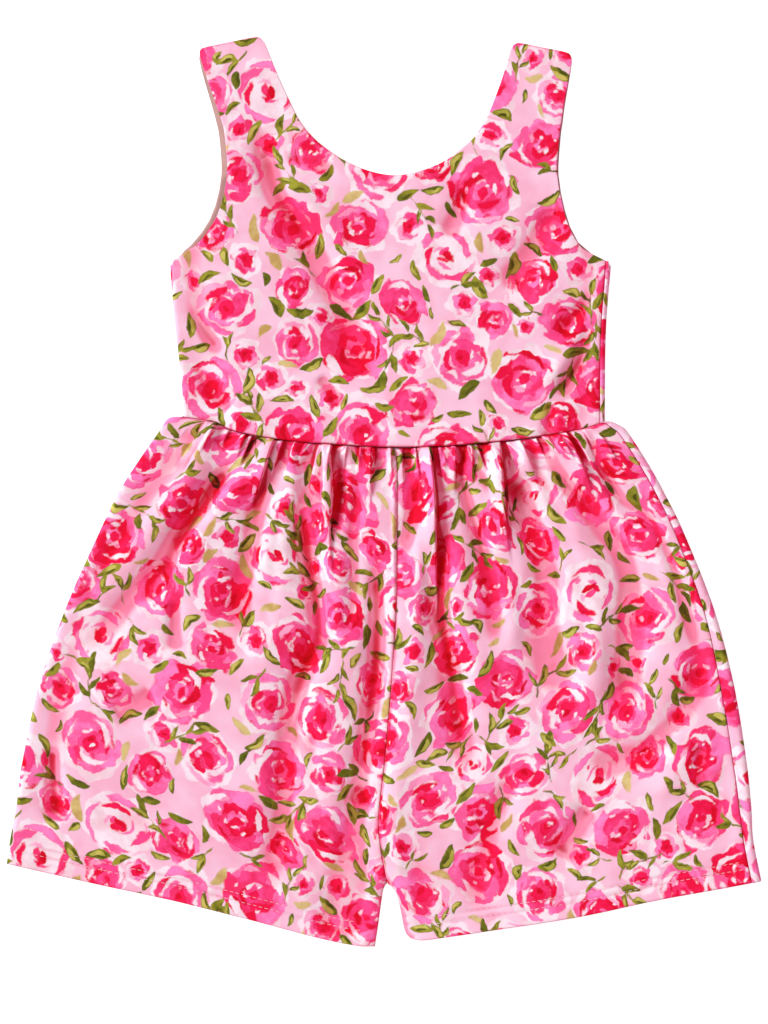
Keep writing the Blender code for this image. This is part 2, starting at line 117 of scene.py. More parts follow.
def nearest(line, x, y, block=20000):
    # plan distance to a line's nearest point, and that point's row, in blocks so that the table stays small
    flatX, flatY = x.reshape(-1), y.reshape(-1)
    gap, row = np.empty(len(flatX)), np.empty(len(flatX), int)
    for start in range(0, len(flatX), block):
        part = slice(start, start + block)
        square = (flatX[part, None] - line[None, :, 0]) ** 2 + (flatY[part, None] - line[None, :, 1]) ** 2
        row[part] = square.argmin(axis=1)
        gap[part] = np.sqrt(np.take_along_axis(square, row[part, None], 1)[:, 0])
    return gap.reshape(x.shape), row.reshape(x.shape)


def distanceTo(line, x, y):
    return nearest(line, x, y)[0]


def softNoise(x, y, cell, seed, lattice=64):
    # value noise from -1 to 1: random values on a square lattice of this cell, blended with 3t^2 - 2t^3
    grid = np.random.default_rng(seed).uniform(-1, 1, (lattice, lattice))
    gx, gy = x / cell, y / cell
    i, j = np.floor(gx).astype(int), np.floor(gy).astype(int)
    fx, fy = smooth(gx - i), smooth(gy - j)
    near = [grid[(i + a) % lattice, (j + b) % lattice] for a in (0, 1) for b in (0, 1)]
    return (near[0] * (1 - fy) + near[1] * fy) * (1 - fx) + (near[2] * (1 - fy) + near[3] * fy) * fx


def uneven(x, y, cell, seed, shift=300):  # the same noise over the plan, shifted off the lattice's corner
    return softNoise(x + shift, y + shift, cell, seed)


# The cut, as tables of short rows

cut = {
    "waist": [(-110.8, 15.7), (-94, 13), (-84, 8.6), (-62, 4.2), (-33, 1.5),
              (0, 0), (30, 0.8), (66, 4.2), (98, 9.4), (110.8, 13.6)],
    # y, left fold, right fold, how far the right seam lies in from its fold
    "bodice": [(95, -117.8, 113.9, 2.5), (70, -115.6, 111.8, 2.6), (50, -113.4, 111.0, 2.7),
               (30, -111.4, 110.8, 2.7), (14.5, -110.8, 110.8, 2.6)],
    "underarmFold": {"left": (-115.4, 98.4), "right": (111.8, 97.4)},
    "underarmSeam": {"left": (-112.2, 101.0), "right": (111.4, 97.7)},
    # y, left edge, right edge
    "armhole": [(104, -109.8, 100.2), (108, -105.0, 96.6), (115, -99.8, 92.9),
                (125, -94.6, 89.7), (143, -90.8, 86.5)],
    # y, left strap's outer and inner edge, right strap's inner and outer edge
    "strap": [(163, -91.9, -43.1, 42.5, 87.6), (171, -93.5, -49.4, 47.7, 88.7),
              (179, -95.6, -53.6, 51.4, 89.7), (195, -100.3, -61.0, 57.2, 92.4)],
    "strapEnds": [(-103.5, 208.7), (-69.4, 215.8), (62.3, 212.6), (94.1, 206.3)],
    "neck": [(157, -36.3, 36.2), (150, -25.6, 26.7), (144.5, -12.5, 13.4)],
    "neckBottom": (0.5, 142.4),
    "puff": {"left": [(-110.8, 15.4), (-115, 15.8), (-119.2, 14.5), (-123.6, 8)],
             "right": [(110.8, 13.3), (114, 13.2), (118.2, 11.4), (122.6, 8)]},
    # y, left fold, centre seam, right fold, how far the right seam lies in from its fold
    "shorts": [(-10, -136.0, 1.5, 134.2, 4.2), (-25, -145.3, 1.6, 142.4, 4.2),
               (-45, -154.9, 1.5, 152.2, 4.4), (-85, -172.6, 1.1, 168.0, 5.4),
               (-125, -186.4, -1.4, 178.5, 7.2), (-165, -195.2, -4.8, 185.1, 7.2),
               (-190, -198.6, -7.7, 187.7, 6.4), (-206, -201.6, -7.4, 188.6, 5.2)],
    "crotch": (-3.6, -229),
    "inseam": [(-231.5, -5.5, -0.5), (-238, -6.6, 2.3), (-250, -8.2, 4.7), (-255.2, -9.0, 6.2)],
    "hem": {"left": [(-203.4, -218.6), (-160, -228.4), (-120, -237), (-80, -246.9), (-40, -257.6),
                     (-20, -261.6), (-10.1, -262.2)],
            "right": [(8.6, -257.9), (12, -258.6), (20, -258.2), (60, -252.4), (100, -245.9), (140, -237.4),
                      (180, -230.2), (192.8, -227.6)]},
    "bodiceFold": 2.2, "shortsFold": 2.8, "underSeamInset": 6.0, "seamGap": 0.06,
    "backShows": {"left": 3.2, "right": 1.0}, "backNeckDrop": 1.4,
}

waistLine = smoothLine(cut["waist"])
centreLine = smoothLine([(0, 0)] + column(cut["shorts"], 2) + [cut["crotch"]])
hemLines = {name: smoothLine(points) for name, points in cut["hem"].items()}
inseamLines = {"left": smoothLine([cut["crotch"]] + column(cut["inseam"], 1) + [cut["hem"]["left"][-1]]),
               "right": smoothLine([cut["crotch"]] + column(cut["inseam"], 2) + [cut["hem"]["right"][0]])}


def waistPoints(part, x):
    gap = cut["seamGap"] / 2 * (1 if part == "bodice" else -1)
    return np.stack([x, np.interp(x, waistLine[:, 0], waistLine[:, 1]) + gap], axis=-1)


def sideLines(part, name):  # the outermost line, the fold's middle and the side seam, from top to bottom
    table = cut[part]
    points = column(table, 1 if name == "left" else len(table[0]) - 2)
    if part == "shorts":
        points = cut["puff"][name] + points + [cut["hem"][name][0 if name == "left" else -1]]
    outer = smoothLine(points)
    if name == "left":
        inset, waist, waistInset = cut["underSeamInset"], cut["bodice"][-1][1], cut["underSeamInset"]
    else:
        inset = np.interp(-outer[:, 1], [-row[0] for row in table], [row[-1] for row in table])
        waist, waistInset = cut["bodice"][-1][2:]
    seamEnd = waistPoints(part, waist + inward[name] * waistInset)
    foldEnd = waistPoints(part, waist + inward[name] * cut["bodiceFold"])
    fold = moved(outer, inward[name] * cut["bodiceFold" if part == "bodice" else "shortsFold"])
    seam = moved(outer, inward[name] * inset)
    if part == "shorts":
        return pulled(outer, waistPoints(part, waist)), pulled(fold, foldEnd), pulled(seam, seamEnd)
    return (pulled(outer, end=waistPoints(part, waist)), pulled(fold, cut["underarmFold"][name], foldEnd),
            pulled(seam, cut["underarmSeam"][name], seamEnd))


sides = {(part, name): sideLines(part, name) for part in ("bodice", "shorts") for name in ("left", "right")}
print("plan lines drawn")

# The print: watercolour roses and leaves, painted as layers of signed distances in millimetres, above 0 inside

printPlan = {
    "cell": 0.5, "width": 480, "height": 560, "seed": 41,
    # radius and tries
    "roseSizes": [(18.4, 300), (16.6, 900), (14.6, 1560), (12.4, 4200), (10.0, 5400), (7.8, 900)],
    "roseGap": -3.4, "budBelow": 11.2,
    "roseShares": (0.50, 0.35, 0.15),  # full, ringed and white roses
    "leafTries": 9000, "leafSpacing": 10.2, "leafLengths": (8.0, 16.0), "leafOverlap": 1.6, "twigReach": 22,
    "leafShares": (0.16, 0.23, 0.26, 0.09, 0.13, 0.13),  # pale, plain, lit, edged, twin and sprig
}
layerNames = ["white", "soft", "mid", "rose", "hot", "crimson", "paleLime", "leaf", "lime", "leafEdge"]
farOutside = -1.6
fullTurn, quarterTurn = 6.28, 1.57


class Painter:
    def __init__(self, plan):
        self.cell = plan["cell"]
        self.shape = (int(plan["height"] / self.cell), int(plan["width"] / self.cell))
        self.layers = np.full((len(layerNames),) + self.shape, farOutside, np.float32)
        self.tone = np.zeros(self.shape, np.float32)
        self.dice = np.random.default_rng(plan["seed"])
        rows, cols = (np.arange(n) * self.cell for n in self.shape)
        y, x = np.meshgrid(rows, cols, indexing="ij")
        wander = ((1.0, 5.0), (0.6, 2.1), (0.3, 1.1))  # how far a painted edge strays, and over what length
        self.ragged = [
            sum(size * softNoise(x, y, wide, 10 * n + k) for n, (size, wide) in enumerate(wander, 1))
            for k in (0, 1)
        ]

    def window(self, x, y, reach, turn=0.0, squeeze=1.0, ragged=1.0):
        # the cells round a point, wrapped at the cloth's ends, and their turned and ragged coordinates
        i = np.arange(int((y - reach) / self.cell), int((y + reach) / self.cell) + 1)
        j = np.arange(int((x - reach) / self.cell), int((x + reach) / self.cell) + 1)
        self.at = np.ix_(i % self.shape[0], j % self.shape[1])
        px = j[None, :] * self.cell - x + ragged * self.ragged[0][self.at]
        py = i[:, None] * self.cell - y + ragged * self.ragged[1][self.at]
        self.px = px * math.cos(turn) + py * math.sin(turn)
        self.py = (py * math.cos(turn) - px * math.sin(turn)) / squeeze

    def stroke(self, name, inside, tone=None):
        # one touch of a colour hides what is above it in the list of layers, and bare ground hides them all
        c = layerNames.index(name) if name in layerNames else -1
        rows, cols = self.at
        held = self.layers[:, rows, cols]
        if c >= 0:
            held[c] = np.maximum(held[c], inside)
        held[c + 1:] = np.minimum(held[c + 1:], -inside[None])
        self.layers[:, rows, cols] = held
        tone = self.dice.uniform(-1, 1) if tone is None else tone
        self.tone[self.at] += (tone - self.tone[self.at]) * smooth(inside / 0.8 + 0.5)

    def disc(self, x, y, radius, lobes=0.08):
        # radius times a wavy ring of 3, 5 and 8 lobes, less the distance from the middle
        dx, dy = self.px - x, self.py - y
        angle, phase = np.arctan2(dy, dx), self.dice.uniform(0, fullTurn, 3)
        wave = sum(a * np.cos(n * angle + p) for a, n, p in zip((0.5, 0.9, 0.5), (3, 5, 8), phase))
        return radius * (1 + lobes * wave) - np.hypot(dx, dy)

    def petal(self, out, place, turn, length, width):
        # an egg: half its width at this place along it, less the distance from its midline
        dx, dy = self.px - out * math.cos(place), self.py - out * math.sin(place)
        along = (dx * math.cos(turn) + dy * math.sin(turn)) / length
        across = dy * math.cos(turn) - dx * math.sin(turn)
        inside = width * (1 - along**2 * (1 + 0.35 * along)) - np.abs(across) * (1 + 0.2 * along)
        return np.where(np.abs(along) < 1.3, inside, farOutside)

    def arc(self, radius, middle, span, width, spiral=0.0):
        # a crescent: a width that tapers to its two ends, less the distance from its ring
        gap = np.angle(np.exp(1j * (np.arctan2(self.py, self.px) - middle)))
        ring = np.hypot(self.px, self.py) - radius - spiral * gap
        return width * (1 - (gap / span) ** 2) - np.abs(ring)

    def leaf(self, x, y, turn, length, width, bend):
        # a lens: its half width falls off towards both tips of a bent midline, sooner at the far one
        dx, dy = self.px - x, self.py - y
        along = (dx * math.cos(turn) + dy * math.sin(turn)) / (length / 2)
        across = dy * math.cos(turn) - dx * math.sin(turn) - bend * (1 - along**2)
        half = width / 2 * (1 - np.abs(along) ** 2.3) * (1 - 0.3 * along)
        return np.where(np.abs(along) < 1.4, half - np.abs(across), farOutside)

    def touches(self, r, turn, kind, names, out, long, wide, spiral=0.1, tone=None):
        # touches spaced round a rose, each a little off its place; sizes are shares of its radius
        for k, name in enumerate(names):
            a = turn + (k + self.dice.uniform(-0.25, 0.25)) * fullTurn / len(names)
            place, length, width = (self.dice.uniform(*pair) for pair in (out, long, wide))
            if kind == "arc":
                shape = self.arc(r * place, a, length, r * width, r * spiral)
            else:
                lean = a + quarterTurn + self.dice.uniform(-0.35, 0.35)
                shape = self.petal(r * place, a, lean, r * length, r * width)
            self.stroke(name, shape, tone)

    def streaks(self, r, count):
        # thin broken brush marks that follow the petals
        names = self.dice.choice(["hot", "rose", "mid", "crimson", "white", "soft"], count,
                                 p=[0.24, 0.2, 0.16, 0.10, 0.18, 0.12])
        turn = self.dice.uniform(0, fullTurn)
        self.touches(r, turn, "arc", names, (0.28, 0.88), (0.14, 0.4), (0.02, 0.05), 0.06)

    def specks(self, r, count):  # of bare white
        turn = self.dice.uniform(0, fullTurn)
        self.touches(r, turn, "petal", ["white"] * count, (0.1, 0.6), (0.05, 0.11), (0.04, 0.07), tone=0.6)


def paintFullRose(paint, r):
    turn, lean = paint.dice.uniform(0, fullTurn, 2)
    paint.stroke("white", paint.disc(0.09 * r * math.cos(lean), 0.09 * r * math.sin(lean), r * 0.95))
    paint.touches(r, lean, "arc", ["ground"] * 3, (0.96, 1.04), (0.15, 0.4), (0.05, 0.10))
    wash, reach = paint.dice.choice(["mid", "mid", "rose"]), r * paint.dice.uniform(0.76, 0.92)
    paint.stroke(wash, paint.disc(0, 0, reach, 0.12))
    names = ["rose", "hot", "mid", "mid", paint.dice.choice(["mid", "rose"])]
    paint.touches(r, turn, "petal", names, (0.46, 0.62), (0.44, 0.66), (0.24, 0.38))
    paint.touches(r, lean, "arc", ["crimson", "mid", "soft"], (0.60, 0.76), (0.35, 0.8), (0.05, 0.09))
    paint.touches(r, turn + 1, "arc", ["white", "white"], (0.58, 0.80), (0.4, 0.9), (0.07, 0.13), 0.12, 0.5)
    paint.streaks(r, 3)
    wash, reach = paint.dice.choice(["rose", "hot"]), r * paint.dice.uniform(0.44, 0.54)
    paint.stroke(wash, paint.disc(0, 0, reach, 0.12))
    paint.touches(r, turn, "arc", ["crimson", "hot", "rose"], (0.32, 0.46), (0.6, 1.2), (0.08, 0.13))
    paint.touches(r, lean, "petal", ["white", "soft"], (0.22, 0.42), (0.10, 0.20), (0.05, 0.09), tone=0.4)
    paint.stroke(paint.dice.choice(["mid", "rose"]), paint.disc(0, 0, r * 0.24, 0.12))
    paint.touches(r, turn, "arc", ["white"], (0.25, 0.29), (0.4, 0.8), (0.03, 0.06), -0.05, 0.4)
    paint.touches(r, lean, "petal", ["hot"], (0.03, 0.08), (0.14, 0.22), (0.12, 0.17))
    paint.specks(r, 3)


def paintRingedRose(paint, r):
    turn, lean = paint.dice.uniform(0, fullTurn, 2)
    paint.stroke("white", paint.disc(0.04 * r, -0.04 * r, r, 0.08))
    paint.touches(r, lean, "arc", ["ground"] * 2, (0.98, 1.05), (0.15, 0.35), (0.04, 0.09))
    names = ["mid", "rose", "mid", "mid", "soft", "mid"]
    paint.touches(r, turn, "arc", names, (0.68, 0.80), (0.45, 0.85), (0.10, 0.18), 0.08)
    paint.stroke("mid", paint.disc(0, 0, r * paint.dice.uniform(0.52, 0.64), 0.12))
    paint.touches(r, turn, "petal", ["mid", "rose", "hot"], (0.32, 0.46), (0.30, 0.46), (0.18, 0.27))
    paint.touches(r, lean, "arc", ["white"] * 2, (0.48, 0.62), (0.6, 1.2), (0.06, 0.11), 0.14, 0.4)
    paint.streaks(r, 3)
    paint.stroke("rose", paint.disc(0, 0, r * 0.36, 0.12))
    paint.touches(r, lean, "petal", ["hot"], (0.0, 0.05), (0.26, 0.34), (0.19, 0.26))
    paint.touches(r, turn, "petal", ["crimson"], (0.05, 0.12), (0.10, 0.15), (0.07, 0.10))
    paint.touches(r, lean + 1, "arc", ["white", "soft"], (0.32, 0.40), (0.4, 0.8), (0.04, 0.07), 0.08, 0.4)
    paint.specks(r, 2)


def paintWhiteRose(paint, r):
    turn = paint.dice.uniform(0, fullTurn)
    paint.stroke("white", paint.disc(0, 0, r * 0.98, 0.07), 0.2)
    paint.touches(r, turn, "arc", ["mid", "mid", "rose", "mid"], (0.64, 0.82), (0.5, 1.0), (0.08, 0.14), 0.08)
    paint.touches(r, turn - 0.3, "arc", ["hot"], (0.54, 0.60), (0.6, 0.8), (0.08, 0.11), 0.12)
    paint.touches(r, turn, "arc", ["mid", "rose", "soft", "mid"], (0.45, 0.92), (0.12, 0.35), (0.03, 0.06))
    paint.stroke("white", paint.disc(0, 0, r * 0.42, 0.10), 0.3)
    paint.touches(r, turn + 2.6, "arc", ["mid", "soft"], (0.28, 0.38), (0.6, 1.1), (0.05, 0.08))
    paint.touches(r, turn, "petal", ["rose", "hot", "crimson"], (0.06, 0.15), (0.14, 0.22), (0.08, 0.12))


def paintBud(paint, r):
    turn = paint.dice.uniform(0, fullTurn)
    paint.stroke("white", paint.disc(0, 0, r))
    paint.stroke("mid", paint.disc(0, 0, r * 0.68, 0.14))
    paint.touches(r, turn, "arc", ["rose", "soft"], (0.5, 0.6), (0.9, 1.3), (0.12, 0.2), 0.06)
    paint.touches(r, turn - 1, "arc", ["white", "white"], (0.46, 0.62), (0.6, 1.0), (0.1, 0.13), 0.14, 0.4)
    paint.stroke("hot", paint.disc(0.05 * r, 0.03 * r, r * 0.36, 0.14))
    paint.touches(r, turn, "petal", ["crimson"], (0, 0.05), (0.16, 0.2), (0.10, 0.14))


def paintLeaf(paint, x, y, turn, length, kind, slim=1.0):
    dice = paint.dice
    width, bend = slim * length * dice.uniform(0.25, 0.41), length * dice.uniform(-0.18, 0.18)
    side = 1 if bend > 0 else -1

    def touch(name, shift, lean, long, wide, curve):  # a smaller stroke, shifted off the midline
        place = x - shift * math.sin(turn), y + shift * math.cos(turn)
        paint.stroke(name, paint.leaf(*place, turn + lean, length * long, width * wide, curve))

    paint.stroke("paleLime" if kind == "pale" else "leaf", paint.leaf(x, y, turn, length, width, bend))
    if kind == "lit":
        touch("lime", side * width * 0.22, 0.08 * side, dice.uniform(0.55, 0.85), 0.5, bend * 0.9)
    elif kind == "edged":
        touch("lime", side * width * 0.05, 0.08 * side, dice.uniform(0.55, 0.85), 0.66, bend * 0.9)
    if kind != "pale":
        touch("leafEdge", -side * width * dice.uniform(0.1, 0.26), 0.05, dice.uniform(0.4, 0.75), 0.28, bend)


def paintTwig(paint, turn, kind):
    # slim leaves that fan out from a thin stem: where each leaves it, and the turn it takes
    rows = ((-8, 0.65), (-4, -0.6), (1, 0.45), (4, -0.3)) if kind == "sprig" else ((0, 0.42), (0, -0.38))
    reach = 18 if kind == "sprig" else 9
    foot = -reach / 5
    paint.stroke("leaf", paint.leaf(foot * math.cos(turn), foot * math.sin(turn), turn, reach, 1.1, 0.8))
    for start, spread in rows:
        length, a = paint.dice.uniform(7.5, 13.0), turn + spread * paint.dice.uniform(0.8, 1.2)
        x = start * math.cos(turn) + 0.55 * length * math.cos(a)
        y = start * math.sin(turn) + 0.55 * length * math.sin(a)
        paintLeaf(paint, x, y, a, length, paint.dice.choice(["plain", "lit"]), 0.85)


def clearOf(spot, others, size):
    # distance to each of the others, the short way round the wrapped cloth
    gap = np.abs(others[:, :2] - spot)
    gap = np.minimum(gap, size - gap)
    return np.hypot(gap[:, 0], gap[:, 1])


def paintCloth(plan):
    paint = Painter(plan)
    dice, size = paint.dice, np.array([plan["width"], plan["height"]])
    roses = np.zeros((0, 3))  # x, y and radius: darts thrown on the cloth, the largest roses first
    for radius, tries in plan["roseSizes"]:
        for _ in range(tries):
            r, spot = radius * dice.uniform(0.92, 1.06), dice.uniform(0, 1, 2) * size
            if not (clearOf(spot, roses, size) < roses[:, 2] + r + plan["roseGap"]).any():
                roses = np.vstack([roses, [*spot, r]])
    for x, y, r in roses[dice.permutation(len(roses))]:
        paint.window(x, y, r * 1.25 + 2, dice.uniform(0, fullTurn), dice.uniform(0.84, 1.0))
        kind = dice.choice([paintFullRose, paintRingedRose, paintWhiteRose], p=plan["roseShares"])
        (kind if r > plan["budBelow"] else paintBud)(paint, r)
    leaves = np.zeros((0, 2))
    for _ in range(plan["leafTries"]):
        spot = dice.uniform(0, 1, 2) * size
        clear = clearOf(spot, roses, size) - roses[:, 2]
        if clear.min() < -plan["leafOverlap"] or (clearOf(spot, leaves, size) < plan["leafSpacing"]).any():
            continue
        leaves = np.vstack([leaves, spot])
        toRose = roses[clear.argmin(), :2] - spot
        toRose -= np.round(toRose / size) * size
        aside = dice.choice([-quarterTurn, quarterTurn])
        turn = math.atan2(toRose[1], toRose[0]) + aside + dice.uniform(-0.5, 0.5)
        kind = dice.choice(["pale", "plain", "lit", "edged", "twin", "sprig"], p=plan["leafShares"])
        paint.window(*spot, plan["twigReach"], ragged=0.6)
        if kind in ("twin", "sprig"):
            paintTwig(paint, turn, kind)
        else:
            paintLeaf(paint, 0, 0, turn, dice.uniform(*plan["leafLengths"]), kind)
    print("print:", len(roses), "roses and", len(leaves), "leaves")
    return np.clip(np.concatenate([paint.layers, paint.tone[None]]), farOutside, -farOutside)


# Finishes

# a darker and a lighter tone for each layer of the print, tuned under this scene's own tinted light
colours = {
    "ground": ((0.72, 0.37, 0.475), (0.75, 0.48, 0.585)),
    "white": ((0.69, 0.50, 0.545), (0.75, 0.65, 0.685)),
    "soft": ((0.74, 0.23, 0.39), (0.77, 0.34, 0.50)),
    "mid": ((0.73, 0.088, 0.25), (0.78, 0.195, 0.44)),
    "rose": ((0.69, 0.024, 0.11), (0.76, 0.058, 0.22)),
    "hot": ((0.64, 0.004, 0.040), (0.72, 0.010, 0.076)),
    "crimson": ((0.50, 0.001, 0.014), (0.62, 0.004, 0.030)),
    "paleLime": ((0.42, 0.28, 0.085), (0.55, 0.44, 0.18)),
    "leaf": ((0.10, 0.11, 0.008), (0.27, 0.26, 0.025)),
    "lime": ((0.30, 0.29, 0.040), (0.48, 0.43, 0.10)),
    "leafEdge": ((0.055, 0.06, 0.005), (0.10, 0.10, 0.010)),
}
layerPlaces = {"white": ("petals", 0), "soft": ("petals", 1), "mid": ("petals", 2),
               "rose": ("blooms", 0), "hot": ("blooms", 1), "crimson": ("blooms", 2),
               "paleLime": ("leaves", 0), "leaf": ("leaves", 1), "lime": ("leaves", 2),
               "leafEdge": ("marksAndShade", 0)}
knit = {
    "roughness": 0.82, "scatter": 0.35, "scatterReach": 0.0035,
    "scatterShares": (1.0, 0.28, 0.36),  # red light travels furthest in the knit
    "sheen": 0.02, "sheenRoughness": 0.4, "shine": 0.08,
    # painted shade in folds and creases: folds deepen the pink, as light that comes back from dyed cloth keeps
    # its red and loses its green and blue; the deep stage is a darker painted shade on seams and steep drops
    "foldShadeRange": (0.0, 1.7), "foldShadePink": (1.0, 0.45, 0.56), "foldShadeGreen": (0.78, 0.55, 0.5),
    "deepShadeRange": (2.6, 4.1), "deepShadePink": (0.68, 0.09, 0.14),
    "toneRange": (0.1, 0.95), "softEdge": 0.45, "leafEdge": 0.24, "leafFray": 0.3,
    "wales": 400.0, "bump": 0.35, "bumpDepth": 0.00008,
}


class Tree:
    def __init__(self, name, roughness):
        self.material = bpy.data.materials.new(name)
        self.material.use_nodes = True
        self.nodes, self.links = self.material.node_tree.nodes, self.material.node_tree.links
        self.surface = self.nodes["Principled BSDF"]
        self.surface.inputs["Roughness"].default_value = roughness

    def add(self, kind, values=(), **settings):
        node = self.nodes.new("ShaderNode" + kind)
        for key, value in settings.items():
            setattr(node, key, value)
        for key, value in dict(values).items():
            if hasattr(value, "is_output"):
                self.links.new(value, node.inputs[key])
            else:
                node.inputs[key].default_value = value
        return node

    def sums(self, operation, a, b, c=None):
        values = {0: a, 1: b} if c is None else {0: a, 1: b, 2: c}
        return self.add("Math", values, operation=operation).outputs[0]

    def noise(self, place, scale, detail=2.0, rough=0.5):
        values = {"Vector": place, "Scale": scale, "Detail": detail, "Roughness": rough}
        return self.add("TexNoise", values).outputs["Fac"]

    def blend(self, share, a, b, kind="MIX"):
        node = self.add("Mix", data_type="RGBA", blend_type=kind)
        for k, value in ((0, share), (6, a), (7, b)):
            if hasattr(value, "is_output"):
                self.links.new(value, node.inputs[k])
            else:
                node.inputs[k].default_value = value if k == 0 else (*value, 1)
        return node.outputs[2]

    def between(self, value, low, high):
        return self.add("MapRange", {"Value": value, "From Min": low, "From Max": high},
                        interpolation_type="SMOOTHSTEP").outputs["Result"]


def makePrintedKnit():
    tree = Tree("printed_knit_face", knit["roughness"])
    split = {}
    for name in ("petals", "blooms", "leaves", "marksAndShade"):
        stored = tree.add("Attribute", attribute_name="cloth_" + name)
        split[name] = tree.add("SeparateXYZ", {0: stored.outputs["Vector"]}).outputs
    place = tree.add("Attribute", attribute_name="cloth_clothPlace").outputs["Vector"]
    wash = tree.noise(place, 130, 3.0, 0.6)  # pools of colour about 8 mm across
    grain = tree.noise(place, 900, 2.0, 0.5)
    tone = tree.sums("MULTIPLY_ADD", split["marksAndShade"][1], 0.36, tree.sums("MULTIPLY_ADD", wash, 2.2, -0.6))
    fray = tree.sums("MULTIPLY_ADD", grain, 0.9, -0.45)
    # brush marks are crisp where the cloth was dry and soft where it was wet
    wet = tree.sums("MAXIMUM", tree.sums("MULTIPLY_ADD", tree.noise(place, 170, 1.0), 3.4, -0.75), 0.6)
    blotch = tree.between(tree.noise(place, 42, 2.5, 0.6), 0.34, 0.66)
    colour = tree.blend(blotch, *colours["ground"])
    # painted shade from the stored depth of creases, seams and edges
    foldShade = tree.between(split["marksAndShade"][2], *knit["foldShadeRange"])
    for name in layerNames:
        # the painted fold shade multiplies the pink layers before the leaves are laid on
        if name == "paleLime":
            colour = tree.blend(foldShade, colour, knit["foldShadePink"], "MULTIPLY")
        group, axis = layerPlaces[name]
        isLeaf = name in ("leaf", "lime", "leafEdge")
        inside = tree.sums("MULTIPLY_ADD", fray, knit["leafFray"] if isLeaf else 1.0, split[group][axis])
        inside = inside if isLeaf else tree.sums("MULTIPLY", inside, wet)
        edge = knit["leafEdge" if isLeaf else "softEdge"]
        cover = tree.between(inside, -edge, edge)
        paintColour = tree.blend(tree.between(tone, *knit["toneRange"]), *colours[name])
        if name in ("mid", "rose", "hot"):  # pigment gathers at the edge of a brush mark
            rim = tree.sums("MULTIPLY", tree.between(split[group][axis], 0.75, 0.1), 0.3)
            dark = {"mid": "rose", "rose": "hot", "hot": "crimson"}[name]
            paintColour = tree.blend(rim, paintColour, colours[dark][0])
        # leaves take a browner painted fold shade of their own
        if isLeaf or name == "paleLime":
            paintColour = tree.blend(foldShade, paintColour, knit["foldShadeGreen"], "MULTIPLY")
        colour = tree.blend(cover, colour, paintColour)
    # a darker crimson painted shade where the depth is greatest, on seams and steep drops
    share = tree.between(split["marksAndShade"][2], *knit["deepShadeRange"])
    deepShade = tree.blend(share, colour, knit["deepShadePink"], "MULTIPLY")
    surface = tree.surface
    tree.links.new(deepShade, surface.inputs["Base Color"])
    surface.inputs["Subsurface Weight"].default_value = knit["scatter"]
    surface.inputs["Subsurface Radius"].default_value = knit["scatterShares"]
    surface.inputs["Subsurface Scale"].default_value = knit["scatterReach"]
    surface.inputs["Sheen Weight"].default_value = knit["sheen"]
    surface.inputs["Sheen Roughness"].default_value = knit["sheenRoughness"]
    surface.inputs["Specular IOR Level"].default_value = knit["shine"]
    # fine wales of the knit, 0.8 mm apart
    wales = tree.add("TexWave", {"Vector": place, "Scale": knit["wales"], "Distortion": 1.5, "Detail": 1.0},
                     bands_direction="X").outputs["Fac"]
    rough = tree.sums("MULTIPLY_ADD", grain, 1.2, wales)
    bump = tree.add("Bump", {"Height": rough, "Strength": knit["bump"], "Distance": knit["bumpDepth"]})
    tree.links.new(bump.outputs[0], surface.inputs["Normal"])
    return tree.material


def makeWrongSide():
    tree = Tree("knit_wrong_side", 0.9)
    place = tree.add("Attribute", attribute_name="cloth_clothPlace").outputs["Vector"]
    # the wrong side's own taupe, darkened with painted shade to its look in the shadow under the front's edge
    colour = tree.blend(tree.noise(place, 60, 3.0), (0.32, 0.15, 0.13), (0.45, 0.26, 0.235))
    tree.links.new(colour, tree.surface.inputs["Base Color"])
    tree.surface.inputs["Sheen Weight"].default_value = 0.2
    bump = tree.add("Bump", {"Height": tree.noise(place, 1500), "Strength": 0.4, "Distance": 0.0001})
    tree.links.new(bump.outputs[0], tree.surface.inputs["Normal"])
    return tree.material


def makeThread():
    tree = Tree("white_sewing_thread", 0.55)
    place = tree.add("TexCoord").outputs["Object"]
    colour = tree.blend(tree.noise(place, 2500), (0.60, 0.46, 0.50), (0.74, 0.64, 0.68))
    tree.links.new(colour, tree.surface.inputs["Base Color"])
    tree.surface.inputs["Sheen Weight"].default_value = 0.3
    twist = tree.add("TexWave", {"Vector": place, "Scale": 1200.0, "Distortion": 0.5},
                     bands_direction="DIAGONAL")
    bump = tree.add("Bump", {"Height": twist.outputs["Fac"], "Strength": 0.5, "Distance": 0.00005})
    tree.links.new(bump.outputs[0], tree.surface.inputs["Normal"])
    return tree.material


printedKnit = makePrintedKnit()
knitWrongSide = makeWrongSide()
threadFinish = makeThread()
print("finishes made")


def clothAt(cloth, u, v):
    # every layer at places on the cloth in millimetres, blended between its four nearest cells
    gx, gy = u / printPlan["cell"], v / printPlan["cell"]
    j, i = np.floor(gx).astype(int), np.floor(gy).astype(int)
    fx, fy = (gx - j).astype(np.float32), (gy - i).astype(np.float32)
    rows, cols = cloth.shape[1:]
    corner = [[cloth[:, (i + a) % rows, (j + b) % cols] for b in (0, 1)] for a in (0, 1)]
    here, above = (corner[k][0] * (1 - fx) + corner[k][1] * fx for k in (0, 1))
    return here * (1 - fy) + above * fy


# The folds and heights of the cloth

